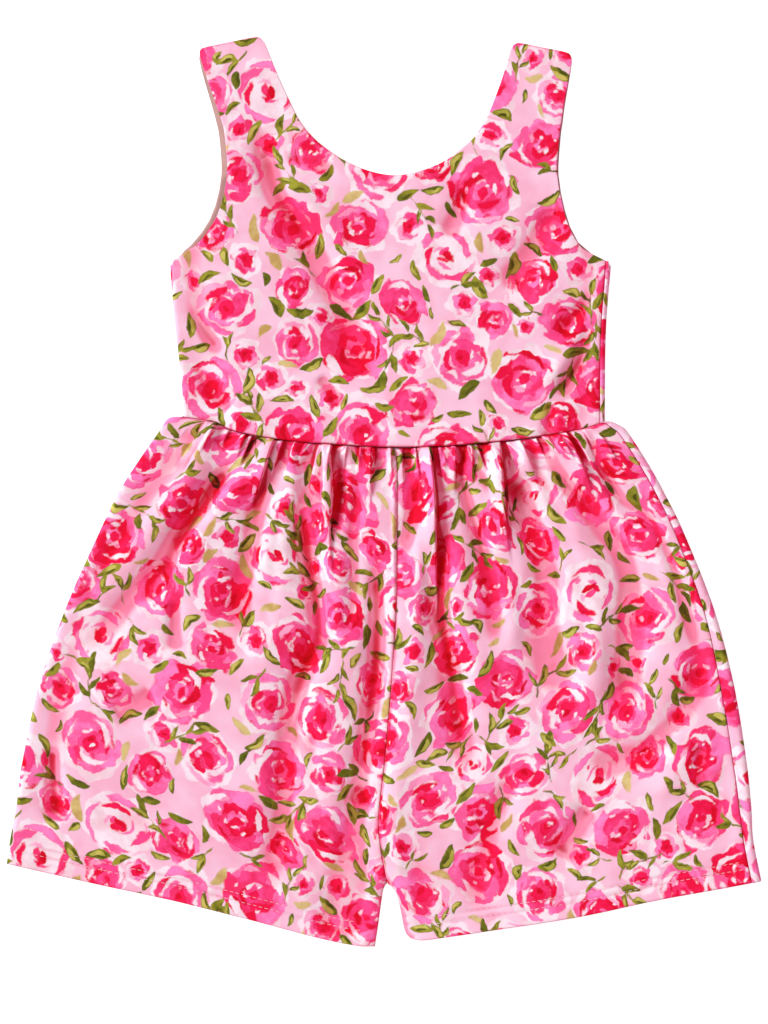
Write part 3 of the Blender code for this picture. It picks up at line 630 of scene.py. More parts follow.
lie = {
    "cloth": 1.0, "bodiceTop": 3.0, "bodicePuff": 3.0, "shortsTop": 3.4, "shortsPuff": 3.4, "hemTop": 4.8,
    "seamRoll": 0.5, "rollReach": 1.6, "edgeRoll": 0.4, "steep": 0.1, "wander": 1.1,
    "calmReach": 12, "puffReach": 30,  # how far in from a side fold the folds and the puff are at their full
    "strapDip": 0.7, "strapDipReach": 6,  # the straps dip at their ends, but stay 2.4 mm above the back ones
    "sewnFlat": 0.55, "sewnFlatReach": 7,  # the gathers are pressed flatter where they are sewn in
    "hemReach": 38, "hemBlend": 22, "hemDent": 0.3, "hemDentReach": 0.8,
    "ridge": 0.9, "ridgeFrom": 1.6, "ridgeReach": 1.3,  # beside the centre seam, on the left
    "roll": 1.8, "rollFrom": 7, "rollBelow": -95, "rollBlend": 55,  # beside the seam low down, on the right
    "inseamDip": 1.5, "inseamReach": 3.2, "leastHeight": 2.2, "leastBlend": 0.3,
    # points down a fold, its width and height, and the side it drops steeply on: 1 right, -1 left, 0 neither
    "gathers": [
        ([(-110, 14), (-122, -8)], 6, 3.0, 1), ([(-96, 12), (-112, -20)], 7, 3.2, -1),
        ([(-80, 8), (-90, -24)], 6, 2.6, 0), ([(-62, 5), (-69, -14), (-78, -34)], 8, 6.0, 1),
        ([(-50, 4), (-54, -36)], 5, 2.4, 0), ([(-36.5, 3), (-37.5, -46)], 4.5, 3.8, -1),
        ([(-33, 2), (-33, -76)], 5, 3.6, 1), ([(-24, 1), (-23, -24)], 4, 2.2, 0),
        ([(-12, 1), (-13, -30)], 5, 3.6, 1), ([(18, 1), (21, -45), (22, -92)], 8, 6.4, 1),
        ([(26, 1), (25, -16)], 3, 2.2, -1), ([(32, 1), (31, -26)], 4, 3.4, 1),
        ([(41, 1), (41, -22)], 4, 3.2, 1), ([(55, 3), (57, -30), (61, -62)], 8, 5.8, 1),
        ([(67, 4), (68, -20)], 4, 2.4, 0), ([(77, 6), (90, -10)], 5, 4.4, -1),
        ([(84, 0), (109, -30)], 6, 3.4, 0), ([(90, 8), (105, -26)], 6, 4.6, 1),
        ([(98, 10), (104, -6)], 3, 1.8, 1), ([(111, 11), (136, -28)], 6, 3.8, 1)],
    "drapes": [
        ([(-78, -2), (-100, -25), (-126, -65), (-142, -84), (-160, -108)], 7.5, -3.4, 0),
        ([(-104, -14), (-128, -45), (-148, -66), (-168, -100)], 8, 1.5, 0),
        ([(-86, -22), (-98, -44), (-112, -66)], 6.9, 1.3, 0),
        ([(-72, -18), (-74, -45), (-80, -72), (-81, -100)], 8, -3.1, 0),
        ([(-54, -18), (-62, -48), (-66, -100), (-72, -125)], 6.9, 1.8, 0),
        ([(-48, -36), (-45, -62), (-40, -95), (-48, -116), (-55, -142), (-58, -190), (-65, -240)], 8, -3.7, 0),
        ([(-30, -56), (-30, -88), (-26, -106), (-37, -128), (-36, -156)], 8, 1.5, 0),
        ([(-27, -8), (-31, -46)], 3.4, -2, 0),
        ([(-10, -66), (-10, -110), (-14, -150), (-19, -190)], 6.9, -3.7, 0),
        ([(-19, -180), (-24, -225), (-28, -262)], 12, -4.6, 0), ([(-115, -82), (-115, -108)], 4.6, -1.8, 0),
        ([(-128, -130), (-148, -141)], 6.9, -1.8, 0), ([(-180, -160), (-177, -198)], 5.2, -2.4, 0),
        ([(6, -1), (11, -18), (8, -42), (5, -58)], 5.2, -2.6, 0),
        ([(14, -52), (12, -90), (9, -130), (9, -165)], 5.8, 1.5, 0),
        ([(23, -48), (24, -84), (29, -120), (34, -150), (40, -174)], 8, -3.4, 0),
        ([(34, -52), (35, -85), (44, -118), (50, -150)], 6.9, 1.5, 0),
        ([(35, -4), (37, -24), (46, -54), (52, -76), (54, -106)], 5.2, -2.6, 0),
        ([(58, -45), (62, -66), (66, -106)], 5.8, 1.5, 0),
        ([(63, -18), (72, -40), (79, -62), (79, -95), (85, -136)], 10.5, -4.9, 0),
        ([(92, -46), (98, -75), (104, -108), (103, -148)], 8, 1.8, 0),
        ([(88, -12), (104, -34), (122, -62), (124, -100), (115, -148)], 10, -4.8, 0),
        ([(104, -16), (124, -36), (140, -66), (144, -90)], 5.8, 1.1, 0),
        ([(103, -4), (120, -27), (141, -46), (156, -92), (160, -112)], 4, -2, 0),
        ([(163, -114), (150, -140), (130, -160), (98, -168)], 9.2, -3.1, 0),
        ([(150, -150), (146, -166), (140, -186)], 6.9, 1.3, 0), ([(161, -158), (160, -180)], 4.6, -1.8, 0),
        ([(101, -190), (84, -216)], 8, -2.6, 0), ([(-90, -16), (-108, -46), (-132, -88)], 4.6, -1.7, 0),
        ([(-60, -34), (-64, -72), (-68, -104)], 4.4, -1.6, 0),
        ([(-20, -24), (-21, -64), (-24, -104)], 4.2, -1.8, 0),
        ([(-44, -150), (-42, -196), (-46, -232)], 7, -1.8, 0),
        ([(46, -12), (58, -48), (66, -86), (68, -118)], 4.6, -1.8, 0),
        ([(15, -14), (16, -54), (19, -96)], 3.8, -1.6, 0),
        ([(74, -12), (90, -42), (100, -84), (98, -120)], 4.6, -1.7, 0),
        ([(112, -20), (132, -52), (144, -92)], 4.4, -1.6, 0),
        ([(60, -176), (46, -214), (40, -246)], 8, -1.7, 0)],
    "drags": [
        ([(-70, 158), (-60, 130), (-40, 98), (-26, 66), (-8, 28)], 9, -3.8, 0),
        ([(-52, 140), (-38, 118), (-20, 88)], 6, 1.4, 0), ([(-112, 74), (-90, 48)], 4, -2.2, 0),
        ([(-108, 42), (-84, 18)], 4, -2.3, 0), ([(-38, 36), (-27, 20)], 4, -1.5, 0),
        ([(107, 82), (86, 58)], 4, -2.0, 0), ([(100, 66), (86, 42), (76, 26)], 4.5, 1.6, 0),
        ([(106, 58), (92, 36), (86, 24)], 4.5, -2.4, 0), ([(83, 22), (80, 2)], 4, -1.8, 0),
        ([(84, 124), (73, 104), (56, 80)], 8.5, -3.0, 0), ([(38, 134), (26, 108)], 5.5, -2.0, 0),
        ([(-54, 152), (-30, 144)], 4, -1.2, 0), ([(30, 60), (10, 22)], 12, 1.0, 0)],
    "puckers": 34, "puckerSeed": 7,
}
# rows are heights above the hem, where the cloth is dented too
hemStitch = {"rows": (12.0, 8.0), "pitch": 3.1, "long": 2.0, "radius": 0.13}


def puckers():
    # small uneven tucks along the waist seam, as more rows of gathers
    dice = np.random.default_rng(lie["puckerSeed"])
    rows = []
    for x in np.linspace(-112, 112, lie["puckers"]) + dice.uniform(-1.8, 1.8, lie["puckers"]):
        y = np.interp(x, waistLine[:, 0], waistLine[:, 1]) + 2
        long = dice.uniform(9, 28)
        end = (x + x * 0.09 * long / 14 + dice.uniform(-1.5, 1.5), y - long)
        rows.append(([(x, y), end], dice.uniform(2.2, 4.2), dice.uniform(1.8, 3.8), dice.choice([-1, 1, 1])))
    return rows


def relief(table, x, y, fade=0.6):
    # a bell across each fold's line, steeper on the side it leans to, that swells in and fades out along it
    z = np.zeros(x.size)
    flatX, flatY = (x + lie["wander"] * uneven(x, y, 23, 8)).reshape(-1), y.reshape(-1)
    for points, width, height, lean in table:
        line = spaced(smoothLine(points), 1.5)
        low, high = line.min(axis=0) - 3 * width, line.max(axis=0) + 3 * width
        near = np.flatnonzero((flatX > low[0]) & (flatX < high[0]) & (flatY > low[1]) & (flatY < high[1]))
        row = nearest(line, flatX[near], flatY[near])[1]
        run = np.gradient(line, axis=0)[row].T
        step = np.hypot(*run)
        dx, dy = flatX[near] - line[row, 0], flatY[near] - line[row, 1]
        t = (row + (dx * run[0] + dy * run[1]) / step**2) / (len(line) - 1)
        rightOf = (dy * run[0] - dx * run[1]) / step
        spread = width * (0.8 + 0.4 * np.clip(t, 0, 1)) * np.where(rightOf * lean > 0, lie["steep"], 1.0)
        z[near] += height * smooth((t + 0.12) / 0.2) * smooth((1.04 - t) / fade) * bell(rightOf / spread)
    return z.reshape(x.shape)


def foldRadius(y):
    return cut["bodiceFold"] + (cut["shortsFold"] - cut["bodiceFold"]) * smooth((16 - y) / 16)


def spaced(line, step=1.0):
    return atLengths(line, np.linspace(0, lengths(line)[-1], int(lengths(line)[-1] / step) + 2))


def bodiceLevel(x, y, near, calm):
    level = lie["bodiceTop"] + lie["bodicePuff"] * smooth(near / lie["puffReach"])
    level = level + calm * relief(lie["drags"], x, y, 0.3)
    level += 0.35 * calm * uneven(x, y, 31, 3) + 0.16 * uneven(x, y, 12, 4)
    ends = cut["strapEnds"]
    shoulders = np.minimum(*(distanceTo(spaced(np.linspace(a, b, 20)), x, y) for a, b in (ends[:2], ends[2:])))
    return level - lie["strapDip"] * bell(shoulders / lie["strapDipReach"]), shoulders


def shortsLevel(x, y, near, calm, toWaist):
    aboveHem = np.minimum(*(distanceTo(spaced(line), x, y) for line in hemLines.values()))
    hemHeight = lie["hemTop"] - lie["shortsTop"]
    level = lie["shortsTop"] + hemHeight * smooth((lie["hemReach"] - aboveHem) / lie["hemBlend"])
    puff = lie["shortsPuff"] * smooth(near / lie["puffReach"]) * smooth(toWaist / 20)
    puff = puff * smooth((aboveHem - 6) / 60)
    free = lie["sewnFlat"] + (1 - lie["sewnFlat"]) * smooth(toWaist / lie["sewnFlatReach"])
    level = level + puff + calm * (free * relief(lie["gathers"], x, y) + relief(lie["drapes"], x, y, 0.25))
    level += calm * relief(puckers(), x, y) * smooth(toWaist / 1.5)
    level += calm * (0.45 * uneven(x, y, 27, 5) + 0.18 * uneven(x, y, 11, 6))
    level -= lie["hemDent"] * sum(bell((aboveHem - row) / lie["hemDentReach"]) for row in hemStitch["rows"])
    toCentre = distanceTo(spaced(centreLine), x, y)
    low = smooth((lie["rollBelow"] - y) / lie["rollBlend"])
    onRight = np.where(x > np.interp(-y, -centreLine[:, 1], centreLine[:, 0]), 1.0, 0.0)
    ridge = bell((toCentre - lie["ridgeFrom"]) / lie["ridgeReach"])
    level += (1 - low) * lie["ridge"] * (1 - onRight) * ridge
    level += low * lie["roll"] * onRight * bell((toCentre - lie["rollFrom"]) / lie["rollFrom"])
    toInseam = np.minimum(*(distanceTo(spaced(line), x, y) for line in inseamLines.values()))
    return level - lie["inseamDip"] * bell(toInseam / lie["inseamReach"]), toCentre


def upperHeight(part, x, y):
    # a level cloth that lifts to its side folds, plus its folds, less a dip where it is sewn
    near = np.minimum(*(distanceTo(spaced(sides[part, name][1]), x, y) for name in ("left", "right")))
    calm = smooth(near / lie["calmReach"])
    toWaist = distanceTo(spaced(waistLine), x, y)
    if part == "bodice":
        level, toOther = bodiceLevel(x, y, near, calm)
    else:
        level, toOther = shortsLevel(x, y, near, calm, toWaist)
    toSewn = np.minimum.reduce([toWaist, distanceTo(spaced(sides[part, "right"][2]), x, y), toOther])
    level = level + np.maximum(2 * foldRadius(y) - level, 0) * bell(near / 10)
    level -= lie["seamRoll"] * bell(toSewn / lie["rollReach"])
    # a soft maximum, s ln(1 + e^(z/s)), keeps it clear of the back panel under it
    least, blend = lie["leastHeight"], lie["leastBlend"]
    return least + blend * np.logaddexp(0, (level - least) / blend)


def sideStrip(rows, onTop, endHeight, cells=(10, 6)):
    # round a side fold: half a circle from the fold's middle by way of the outermost line, then on to the seam
    outer, fold, seam = rows
    angle = np.linspace(0, np.pi, cells[0] + 1)[None, :]
    plan = fold[:, None] + (outer - fold)[:, None] * np.sin(angle)[..., None]
    radius = foldRadius(fold[:, 1])[:, None]
    z = radius * (1 + np.cos(angle) * (1 if onTop else -1))
    t = np.linspace(0, 1, cells[1] + 1)[None, 1:]
    run = fold[:, None] + (seam - fold)[:, None] * t[..., None]
    end = np.broadcast_to(endHeight, (len(seam),))[:, None]
    return np.dstack([np.concatenate([plan, run], axis=1),
                      np.concatenate([z, z[:, -1:] + (end - z[:, -1:]) * smooth(t)], axis=1)])


def sideRows(part, name, wanted, tailSide):
    lines = sides[part, name]
    outer, fold, seam = (atLengths(line, wanted, lines[1]) for line in lines)
    return outer, fold, seam + [tailSide * inward[name] * cut["seamGap"] / 2, 0]


def heights(layer, part, plan):
    z = upperHeight(part, plan[..., 0], plan[..., 1]) if layer == "front" else np.zeros(plan.shape[:2])
    return np.dstack([plan, z])


def along(points, axis, stretch=1.0):
    # running length over a grid's rows or columns, with the climbs counted more because they hide cloth
    step = np.diff(points, axis=axis)
    size = np.sqrt((step[..., :2] ** 2).sum(-1) + (stretch * step[..., 2]) ** 2)
    start = np.zeros_like(size[:1] if axis == 0 else size[:, :1])
    return np.concatenate([start, np.cumsum(size, axis=axis)], axis=axis)


def blurred(values, reach, axis):
    # the mean of each cell and its neighbours within reach, from running sums
    pad = [(reach + 1, reach) if k == axis else (0, 0) for k in (0, 1)]
    run = np.cumsum(np.pad(values, pad, mode="edge"), axis=axis)
    wide = 2 * reach + 1
    return (np.take(run, range(wide, run.shape[axis]), axis)
            - np.take(run, range(run.shape[axis] - wide), axis)) / wide


def addStrip(patches, strip, name):
    # joins the turned side to the body's edge, and carries the cloth's own measure on round it
    body, place = patches[0]
    edge = 0 if name == "left" else -1
    body[:, edge, 2] = strip[:, 0, 2]
    reach = along(strip, 1) * (-1 if name == "left" else 1)
    up = np.broadcast_to(place[:, edge, 1][:, None], reach.shape)
    stripPlace = np.dstack([place[:, edge, 0][:, None] + reach, up])
    if name == "left":
        strip, stripPlace = strip[:, ::-1], stripPlace[:, ::-1]
    patches.append((strip, stripPlace))


bodiceCells = {"front": {"armhole": 48, "strap": 60, "neck": 112, "long": 88, "rows": 176},
               "back": {"armhole": 24, "strap": 24, "neck": 40, "long": 88, "rows": 176}}
legCells = {"front": (232, 320), "back": (64, 320)}  # across and down
flatLeg = {"top": 168, "hem": 196, "climb": 2.2, "hemEdge": 262}  # a leg's width of flat cloth, in millimetres
# where each panel is cut from the printed cloth, in millimetres; some of these places overlap
cutFrom = {"front_bodice": (130, 40), "front_leg_left": (245, 480), "front_leg_right": (268, 500),
           "back_bodice": (380, 300), "back_leg_left": (60, 300), "back_leg_right": (330, 150)}


def roundedEnd(left, right, count, radius=4.4, bulge=0.29):
    # a strap's end from side to side with a round corner at each, and its two sides from below the corners;
    # a quarter circle's middle lies about 0.29 of the radius in from each side of its square
    a, b = left[0], right[0]
    across = (b - a) / np.linalg.norm(b - a) * radius
    left, right = (
        atLengths(side, np.linspace(radius, lengths(side)[-1], len(side))) for side in (left, right)
    )
    points = [left[0], a + bulge * (left[0] - a + across), a + across, (a + b) / 2,
              b - across, b + bulge * (right[0] - b - across), right[0]]
    return evenly(smoothLine(points), count), left, right


def bodicePatches(layer):
    # a body from underarms to waist, two straps, and the side that turns round to its seam
    cells = bodiceCells[layer]
    onFold = "left" if layer == "front" else "right"
    edge, arm, ends = {}, {}, cut["strapEnds"]
    for name, xArm, xStrap, end in (("left", 1, 1, ends[0]), ("right", 2, 4, ends[3])):
        wanted = np.linspace(0, lengths(sides["bodice", name][1])[-1], cells["rows"] + 1)
        rows = sideRows("bodice", name, wanted, -1 if name == onFold else 1)
        edge[name] = rows[1] if name == onFold else rows[2]
        if name == onFold:
            tuck = 0.0 if layer == "front" else upperHeight("bodice", rows[2][:, 0], rows[2][:, 1])
            turned = sideStrip(rows, layer == "front", tuck)
        points = [edge[name][0]] + column(cut["armhole"], xArm) + column(cut["strap"], xStrap) + [end]
        arm[name] = smoothLine(points)
        if layer == "front":
            taper = np.sin(np.pi * np.linspace(0, 1, len(arm[name]))) ** 0.6
            arm[name] = moved(arm[name], -inward[name] * cut["backShows"][name] * taper)
    strap, neckRows = cut["strap"], cut["neck"]
    points = [ends[1]] + column(strap[::-1], 2) + column(neckRows, 1) + [cut["neckBottom"]]
    points += column(neckRows[::-1], 2) + column(strap, 3) + [ends[2]]
    neck = smoothLine(points)
    if layer == "back":
        neck = moved(neck, -cut["backNeckDrop"] * np.sin(np.pi * np.linspace(0, 1, len(neck))) ** 0.6)
    base, first = len(cut["armhole"]), len(strap)
    last = first + 2 * len(neckRows) + 2
    around = {name: evenly(arm[name], cells["armhole"], 0, base) for name in arm}
    neckline = evenly(neck, cells["neck"], first, last)
    baseLeft = np.linspace(around["left"][-1], neckline[0], cells["strap"] + 1)
    baseRight = np.linspace(neckline[-1], around["right"][-1], cells["strap"] + 1)
    top = np.vstack([around["left"], baseLeft[1:], neckline[1:], baseRight[1:], around["right"][-2::-1]])
    bottom = waistPoints("bodice", np.linspace(edge["left"][-1, 0], edge["right"][-1, 0], len(top)))
    edge["left"][-1], edge["right"][-1] = bottom[0], bottom[-1]
    plans = [coons(top, bottom, edge["left"], edge["right"])]
    count = cells["long"]
    innerLeft, innerRight = evenly(neck, count, 0, first), evenly(neck, count, last)[::-1]
    outer = {name: evenly(arm[name], count, base)[::-1] for name in arm}
    for foot, left, right in ((baseLeft, outer["left"], innerLeft), (baseRight, innerRight, outer["right"])):
        shoulder, left, right = roundedEnd(left, right, cells["strap"])
        plans.append(coons(shoulder, foot, left, right))
    patches = [(heights(layer, "bodice", plan), plan.copy()) for plan in plans]
    addStrip(patches, turned, onFold)
    return patches


def legPatches(layer, name):
    # a panel from its side to the centre seam and the inseam, gathered from its flat width into the waist
    across, down = legCells[layer]
    gap = -inward[name] * cut["seamGap"] / 2
    centre = centreLine + [gap, 0]
    onFold = (layer == "front") == (name == "left")
    sideLine = sides["shorts", name][1 if onFold else 2]
    sideEnd = sideLine[0, 0] + (0 if onFold else inward[name] * cut["seamGap"] / 2)
    top = waistPoints("shorts", np.linspace(sideEnd, gap, across + 1))
    centre[0] = top[-1]
    hem = hemLines[name]
    inseamX, hemEnd = (1, hem[-1]) if name == "left" else (2, hem[0])
    inseam = smoothLine([centre[-1]] + column(cut["inseam"], inseamX) + [hemEnd])
    middle = np.vstack([centre, inseam[1:]])
    share = np.linspace(0, 1, down + 1)
    inner = atLengths(middle, share * lengths(middle)[-1])
    wanted = share * lengths(sides["shorts", name][1])[-1]
    rows = sideRows("shorts", name, wanted, -1 if onFold else 1)
    edge = rows[1] if onFold else rows[2]
    edge[0] = top[0]
    left, right = (edge, inner) if name == "left" else (inner, edge)
    bottom = between(hem, left[-1], right[-1], across)
    body = heights(layer, "shorts", coons(top if name == "left" else top[::-1], bottom, left, right))
    run = along(body, 1, flatLeg["climb"])
    flatWidth = np.linspace(flatLeg["top"], flatLeg["hem"], down + 1)[:, None]
    u = blurred(run / run[:, -1:], 16, 0) * flatWidth  # a thread keeps to its place from row to row
    if name == "left":
        u = u - flatWidth
    fromWaist = along(body * [1, 1, 0], 0)
    v = fromWaist[-1:] - fromWaist  # up from the hem, so that the gathers only disturb the cloth above them
    patches = [(body, np.dstack([u, blurred(v, 9, 1) - flatLeg["hemEdge"]]))]
    if onFold:
        tuck = 0.0 if layer == "front" else upperHeight("shorts", rows[2][:, 0], rows[2][:, 1])
        addStrip(patches, sideStrip(rows, layer == "front", tuck), name)
    return patches


# painted shade on sewn lines and open edges: how much deeper the pink is, and over how many millimetres, on
# each kind of line
shade = {"waist": 3.0, "waistVaries": 1.0, "waistReach": 0.43, "side": 1.5, "sideReach": 0.5, "edge": 1.0}
hollowShade = ((4, 1.2), (12, 1.05), (24, 0.8))  # painted shade in hollows: cells in a neighbourhood, and how much a hollow in it counts
dropShade = {"right": (0.4, 1.5, 2.1), "left": (1, 3, 0.8)}  # painted shade on steep slopes, more where they drop to the right, away from the sun: the slope it starts at, the blend and the most
narrow = 20  # a grid with fewer cells across than this is a turned side


def seamShade(part, layer, x, y):
    # painted shade in the seams' grooves: deepest on a sewn line, falling to 0 within a millimetre or so, and
    # uneven along the waist
    if layer == "back":
        return np.zeros_like(x)
    lines = [sides[part, "right"][2]] + ([centreLine] if part == "shorts" else [])
    toWaist = distanceTo(spaced(waistLine, 0.5), x, y)
    toOther = np.minimum.reduce([distanceTo(spaced(line, 0.5), x, y) for line in lines])
    drawn = shade["waist"] + shade["waistVaries"] * uneven(x, y, 8, 12)
    atWaist = drawn * bell(toWaist / shade["waistReach"])
    return np.maximum(atWaist, shade["side"] * bell(toOther / shade["sideReach"]))


def paintedShadeDepth(points):
    # painted shade: how far a point lies below the mean of its near and its wider neighbourhoods, and more on
    # a steep drop
    x, z = points[..., 0], points[..., 2]
    depth = np.zeros(z.shape)
    if min(z.shape) < narrow:
        return depth
    for reach, share in hollowShade:
        if min(z.shape) > 2 * reach:
            depth += share * (blurred(blurred(z, reach, 0), reach, 1) - z)
    depth = np.maximum(depth, 0)
    # above 0 where the cloth drops to the right, away from the sun, where the painted shade is strongest
    fall = -np.gradient(z, axis=1) / (np.abs(np.gradient(x, axis=1)) + 0.01)
    for slope, (least, blend, most) in ((fall, dropShade["right"]), (-fall, dropShade["left"])):
        depth = depth + most * smooth((slope - least) / blend)
    return depth


def lowest(values, reach):  # the least value within a number of cells, along both axes
    for axis in (0, 1):
        wide = np.pad(values, [(reach, reach) if k == axis else (0, 0) for k in (0, 1)], mode="edge")
        values = np.lib.stride_tricks.sliding_window_view(wide, 2 * reach + 1, axis=axis).min(axis=-1)
    return values


# Shells

coarser = 4  # the inner face takes every fourth row and column


def joined(patches, shades):
    # the points, places and shades of all the grids in one list, where grids that touch share their points
    points = np.vstack([p.reshape(-1, 3) for p, _ in patches])
    place = np.vstack([q.reshape(-1, 2) for _, q in patches])
    paintedShade = np.concatenate([depth.reshape(-1) for depth in shades])
    grids, start = [], 0
    for p, _ in patches:
        grids.append(start + np.arange(p.shape[0] * p.shape[1]).reshape(p.shape[:2]))
        start += p.shape[0] * p.shape[1]
    _, first, index = np.unique(np.round(points, 3), axis=0, return_index=True, return_inverse=True)
    index = index.reshape(-1)
    return points[first], place[first], paintedShade[first], [index[g] for g in grids]


def gridFaces(g):
    return np.stack([g[1:, :-1], g[1:, 1:], g[:-1, 1:], g[:-1, :-1]], axis=-1).reshape(-1, 4)


def pointNormals(points, faces):  # the sum of the faces' own normals, brought to length 1
    corners = points[faces]
    across = np.cross(corners[:, 2] - corners[:, 0], corners[:, 3] - corners[:, 1])
    normal = np.stack([np.bincount(faces.reshape(-1), np.repeat(across[:, k], 4), len(points))
                       for k in range(3)], axis=1)
    return normal / (np.linalg.norm(normal, axis=1)[:, None] + 1e-12)


def openEdges(faces, count):
    # the edges of only one face, each as its smaller end times the number of points, plus its larger end
    pairs = np.sort(np.stack([faces, np.roll(faces, -1, axis=1)], axis=-1), axis=-1).reshape(-1, 2)
    keys, uses = np.unique(pairs[:, 0] * count + pairs[:, 1], return_counts=True)
    return keys[uses == 1]


def rimFaces(grids, bare, innerOf):
    # from each few steps of an open edge to the one step of the inner face behind them
    rims, count = [], len(innerOf)
    for g in grids:
        for line, backwards in ((g[0], False), (g[-1], True), (g[:, 0], True), (g[:, -1], False)):
            run = np.stack([line[k:len(line) - coarser + k:coarser] for k in range(coarser + 1)], axis=1)
            key = np.minimum(run[:, 0], run[:, 1]) * count + np.maximum(run[:, 0], run[:, 1])
            run = run[np.isin(key, bare)]
            if len(run):
                run = run[:, ::-1] if backwards else run
                rims.append(np.column_stack([run, innerOf[run[:, -1]], innerOf[run[:, 0]]]))
    return np.vstack(rims)


def innerPoints(points, normal, grids, facesDown):
    # a thickness behind the outer face, and on an upper panel below the lowest cloth of its own cells, so that
    # it never shows through a steep fold
    behind = points - normal * lie["cloth"] * (-1 if facesDown else 1)
    if not facesDown:
        under, turned = points[:, 2].copy(), np.zeros(len(points), bool)
        for g in grids:
            under[g] = np.minimum(under[g], lowest(points[g, 2], coarser))
            turned[g] |= min(g.shape) < narrow
        behind[~turned] = np.column_stack([points[:, :2], under - lie["cloth"]])[~turned]
    return behind


def meshOf(name, points, faces):  # in metres, in the part's own frame
    mesh = bpy.data.meshes.new(name)
    mesh.from_pydata(((points + [origin[0], origin[1], 0]) * mm).tolist(), [], faces)
    mesh.shade_smooth()
    return mesh


def storePrint(mesh, cloth, name, place, paintedShade):
    # the print's layers, the painted shade of creases, seams and edges, and the place on the cloth, kept on
    # the points for the finish
    u, v = (place + cutFrom[name]).T
    layers = clothAt(cloth, u, v)
    sheets = {"petals": layers[0:3], "blooms": layers[3:6], "leaves": layers[6:9],
              "marksAndShade": np.stack([layers[9], layers[10], paintedShade]),
              "clothPlace": np.stack([u * mm, v * mm, 0 * u])}
    for key, values in sheets.items():
        store = mesh.attributes.new("cloth_" + key, "FLOAT_VECTOR", "POINT")
        store.data.foreach_set("vector", values.T.astype(np.float32).reshape(-1))


def panel(name, patches, cloth, facesDown):
    # a closed thin shell: the outer face, a coarser inner face, and rims between them
    layer, part = name.split("_")[0], "bodice" if name.endswith("bodice") else "shorts"
    # painted shade of each grid: its hollows and drops, and its sewn lines
    shades = [np.maximum(paintedShadeDepth(p), seamShade(part, layer, p[..., 0], p[..., 1])) for p, _ in patches]
    points, place, paintedShade, grids = joined(patches, shades)
    outer = np.vstack([gridFaces(g) for g in grids])
    normal = pointNormals(points, outer)
    coarse = [g[::coarser, ::coarser] for g in grids]
    used = np.unique(np.concatenate([g.reshape(-1) for g in coarse]))
    innerOf = np.full(len(points), -1)
    innerOf[used] = len(points) + np.arange(len(used))
    inner = innerOf[np.vstack([gridFaces(g) for g in coarse])][:, ::-1]
    bare = openEdges(outer, len(points))
    onEdge = np.zeros(len(points), bool)
    onEdge[np.concatenate([bare // len(points), bare % len(points)])] = True
    if not facesDown:  # edges on top roll down a little and get a rim of painted shade
        points[onEdge & (points[:, 2] > 2), 2] -= lie["edgeRoll"]
        paintedShade = paintedShade + shade["edge"] * onEdge
    rims = rimFaces(grids, bare, innerOf)
    behind = innerPoints(points, normal, grids, facesDown)
    faces = outer.tolist() + rims.tolist() + inner.tolist()
    if facesDown:
        faces = [face[::-1] for face in faces]
    mesh = meshOf(name, np.vstack([points, behind[used]]), faces)
    wrongSide = np.zeros(len(faces), np.int32)
    wrongSide[len(outer) + len(rims):] = 1
    mesh.polygons.foreach_set("material_index", wrongSide)
    both = np.concatenate([np.arange(len(points)), used])
    storePrint(mesh, cloth, name, place[both], paintedShade[both])
    mesh.materials.append(printedKnit)
    mesh.materials.append(knitWrongSide)
    piece = bpy.data.objects.new("cloth_" + name, mesh)
    bpy.context.scene.collection.objects.link(piece)
    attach(piece, "root")
    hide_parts(name)
    print("panel", name, len(outer) * 2 + len(inner) * 2 + len(rims) * 5, "triangles")
    return piece


# The panels

allPoints = {}
for layer in ("front", "back"):
    allPoints[layer + "_bodice"] = bodicePatches(layer)
    for name in ("left", "right"):
        allPoints[f"{layer}_leg_{name}"] = legPatches(layer, name)
spread = np.vstack([p[..., :2].reshape(-1, 2) for patches in allPoints.values() for p, _ in patches])
origin = -(spread.min(axis=0) + spread.max(axis=0)) / 2
print("plan box", np.ptp(spread, axis=0), "origin", origin)
cloth = paintCloth(printPlan)
pieces = {name: panel(name, patches, cloth, name.startswith("back")) for name, patches in allPoints.items()}

# The hem's two rows of white stitches

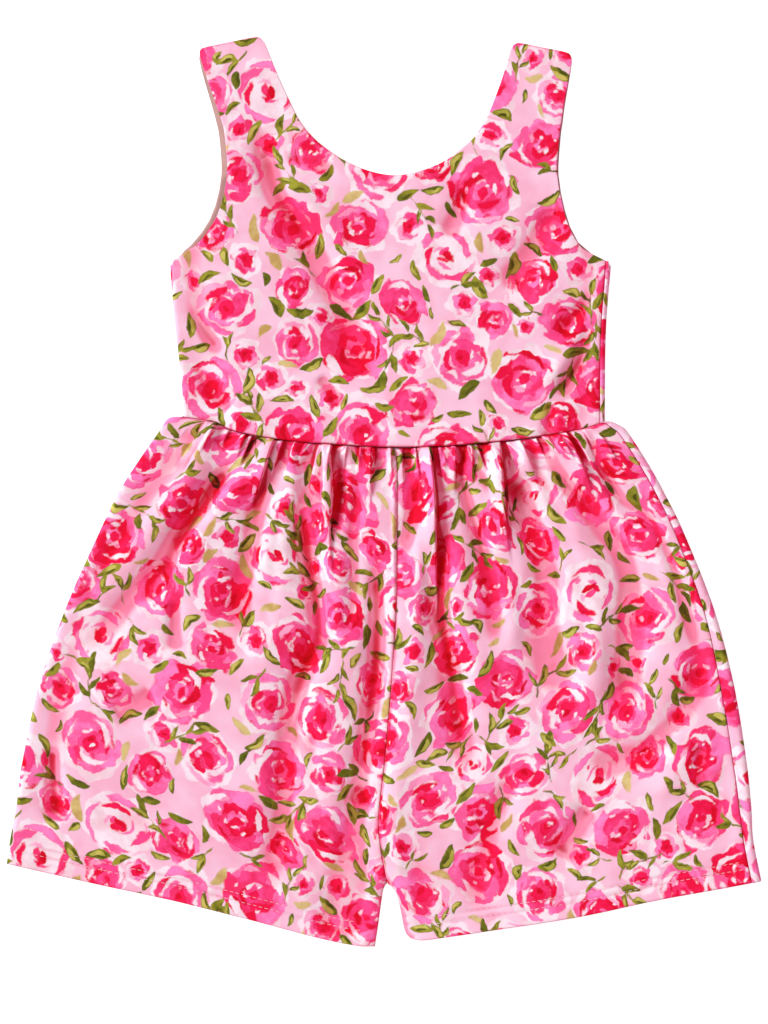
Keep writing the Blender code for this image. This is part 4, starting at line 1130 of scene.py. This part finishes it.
def stitchRows(layer, name):
    # short capsules: rings round a straight axis, whose radius falls off to both ends
    hem = spaced(hemLines[name], 0.5)
    starts = []
    for row in hemStitch["rows"]:
        line = moved(hem, row)
        line = line[int(row):len(line) - int(row)]
        at = np.arange(3.0, lengths(line)[-1] - 5.0, hemStitch["pitch"])
        starts.append(np.stack([atLengths(line, at), atLengths(line, at + hemStitch["long"])], axis=1))
    ends = np.vstack(starts)  # stitch, end, xy
    rings, sideCount = 7, 6
    t = np.linspace(0, 1, rings)[None, :, None]
    axis = ends[:, :1] * (1 - t) + ends[:, 1:] * t
    if layer == "front":
        z = upperHeight("shorts", axis[..., 0], axis[..., 1]) + 0.10
    else:
        z = np.full(axis.shape[:2], 0.12)
    direction = ends[:, 1] - ends[:, 0]
    side = np.stack([-direction[:, 1], direction[:, 0]], axis=1) / np.linalg.norm(direction, axis=1)[:, None]
    radius = hemStitch["radius"] * np.sqrt(np.clip(1 - (2 * t[0, :, 0] - 1) ** 4, 0.12, 1))
    angle = np.linspace(0, 2 * np.pi, sideCount + 1)[:-1]
    flat = side[:, None, None, :] * (np.cos(angle)[None, None, :, None] * radius[None, :, None, None])
    plan = axis[:, :, None, :] + flat
    high = z[:, :, None] + np.sin(angle)[None, None, :] * radius[None, :, None]
    points = np.concatenate([plan, high[..., None]], axis=-1)
    ring = np.arange(rings * sideCount).reshape(rings, sideCount)
    nextRing = np.roll(ring, -1, axis=1)
    quads = np.stack([ring[:-1], nextRing[:-1], nextRing[1:], ring[1:]], axis=-1).reshape(-1, 4)
    caps = np.vstack([ring[:1, ::-1], ring[-1:]])
    first = np.arange(len(points))[:, None, None] * ring.size
    faces = (quads + first).reshape(-1, 4).tolist() + (caps + first).reshape(-1, sideCount).tolist()
    mesh = meshOf(f"hem_stitches_{layer}_{name}", points.reshape(-1, 3), faces)
    mesh.materials.append(threadFinish)
    piece = bpy.data.objects.new(mesh.name, mesh)
    bpy.context.scene.collection.objects.link(piece)
    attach(piece, "root")
    return piece


stitches = {f"{layer}_leg_{name}": stitchRows(layer, name)
            for layer in ("front", "back") for name in ("left", "right")}
print("stitches sewn")

# Floor, light and camera

room = {
    "floor": 26.0, "drop": 0.0002, "paper": (0.3, 0.3, 0.3, 1), "seenAs": 0.9, "litAs": 0.3,
    "cameraHeight": 1.1977, "lens": 80, "aim": (0.0, -0.0105),
    "world": 0.84, "worldColour": (1.0, 0.60, 0.70, 1),  # tinted, not neutral
    "key": 4.3, "keyAngle": 0.45, "keyFrom": (-1.0, 0.4, 0.75), "keyColour": (0.74, 1.0, 0.98),
}


def layFloor():
    half, low = room["floor"] / 2, -room["drop"]
    mesh = bpy.data.meshes.new("floor")
    mesh.from_pydata([(-half, -half, low), (half, -half, low), (half, half, low), (-half, half, low)],
                     [], [(0, 1, 2, 3)])
    paper = Tree("white_floor", 0.9)
    paper.surface.inputs["Base Color"].default_value = room["paper"]
    paper.surface.inputs["Emission Color"].default_value = (1, 1, 1, 1)
    seen = paper.add("LightPath").outputs["Is Camera Ray"]  # white to look at, but dimmer on the cloth's edges
    glow = paper.sums("MULTIPLY_ADD", seen, room["seenAs"] - room["litAs"], room["litAs"])
    paper.links.new(glow, paper.surface.inputs["Emission Strength"])
    mesh.materials.append(paper.material)
    floor = bpy.data.objects.new("floor", mesh)
    bpy.context.scene.collection.objects.link(floor)
    return floor


def hangLights():  # a broad green-blue sun from the left and pink light all round, seen by the camera as white
    sun = bpy.data.lights.new("window", "SUN")
    sun.energy, sun.angle, sun.color = room["key"], room["keyAngle"], room["keyColour"]
    window = bpy.data.objects.new("window", sun)
    window.rotation_mode = "QUATERNION"
    window.rotation_quaternion = mathutils.Vector(room["keyFrom"]).to_track_quat("Z", "Y")
    bpy.context.scene.collection.objects.link(window)
    world = bpy.data.worlds.new("studio")
    bpy.context.scene.world = world
    world.use_nodes = True
    nodes, links = world.node_tree.nodes, world.node_tree.links
    nodes["Background"].inputs["Color"].default_value = room["worldColour"]
    nodes["Background"].inputs["Strength"].default_value = room["world"]
    seen = nodes.new("ShaderNodeBackground")
    seen.inputs["Color"].default_value = (1, 1, 1, 1)
    mix = nodes.new("ShaderNodeMixShader")
    links.new(nodes.new("ShaderNodeLightPath").outputs["Is Camera Ray"], mix.inputs[0])
    links.new(nodes["Background"].outputs[0], mix.inputs[1])
    links.new(seen.outputs[0], mix.inputs[2])
    links.new(mix.outputs[0], nodes["World Output"].inputs["Surface"])


def setCamera():  # straight above
    lens = bpy.data.cameras.new("camera")
    lens.lens, lens.sensor_width, lens.clip_start = room["lens"], 36, 0.01
    camera = bpy.data.objects.new("camera", lens)
    camera.location = (*room["aim"], room["cameraHeight"])
    bpy.context.scene.collection.objects.link(camera)
    bpy.context.scene.camera = camera


floor = layFloor()
hangLights()
setCamera()
bpy.context.scene.view_settings.view_transform = "Standard"
print("lit and framed")
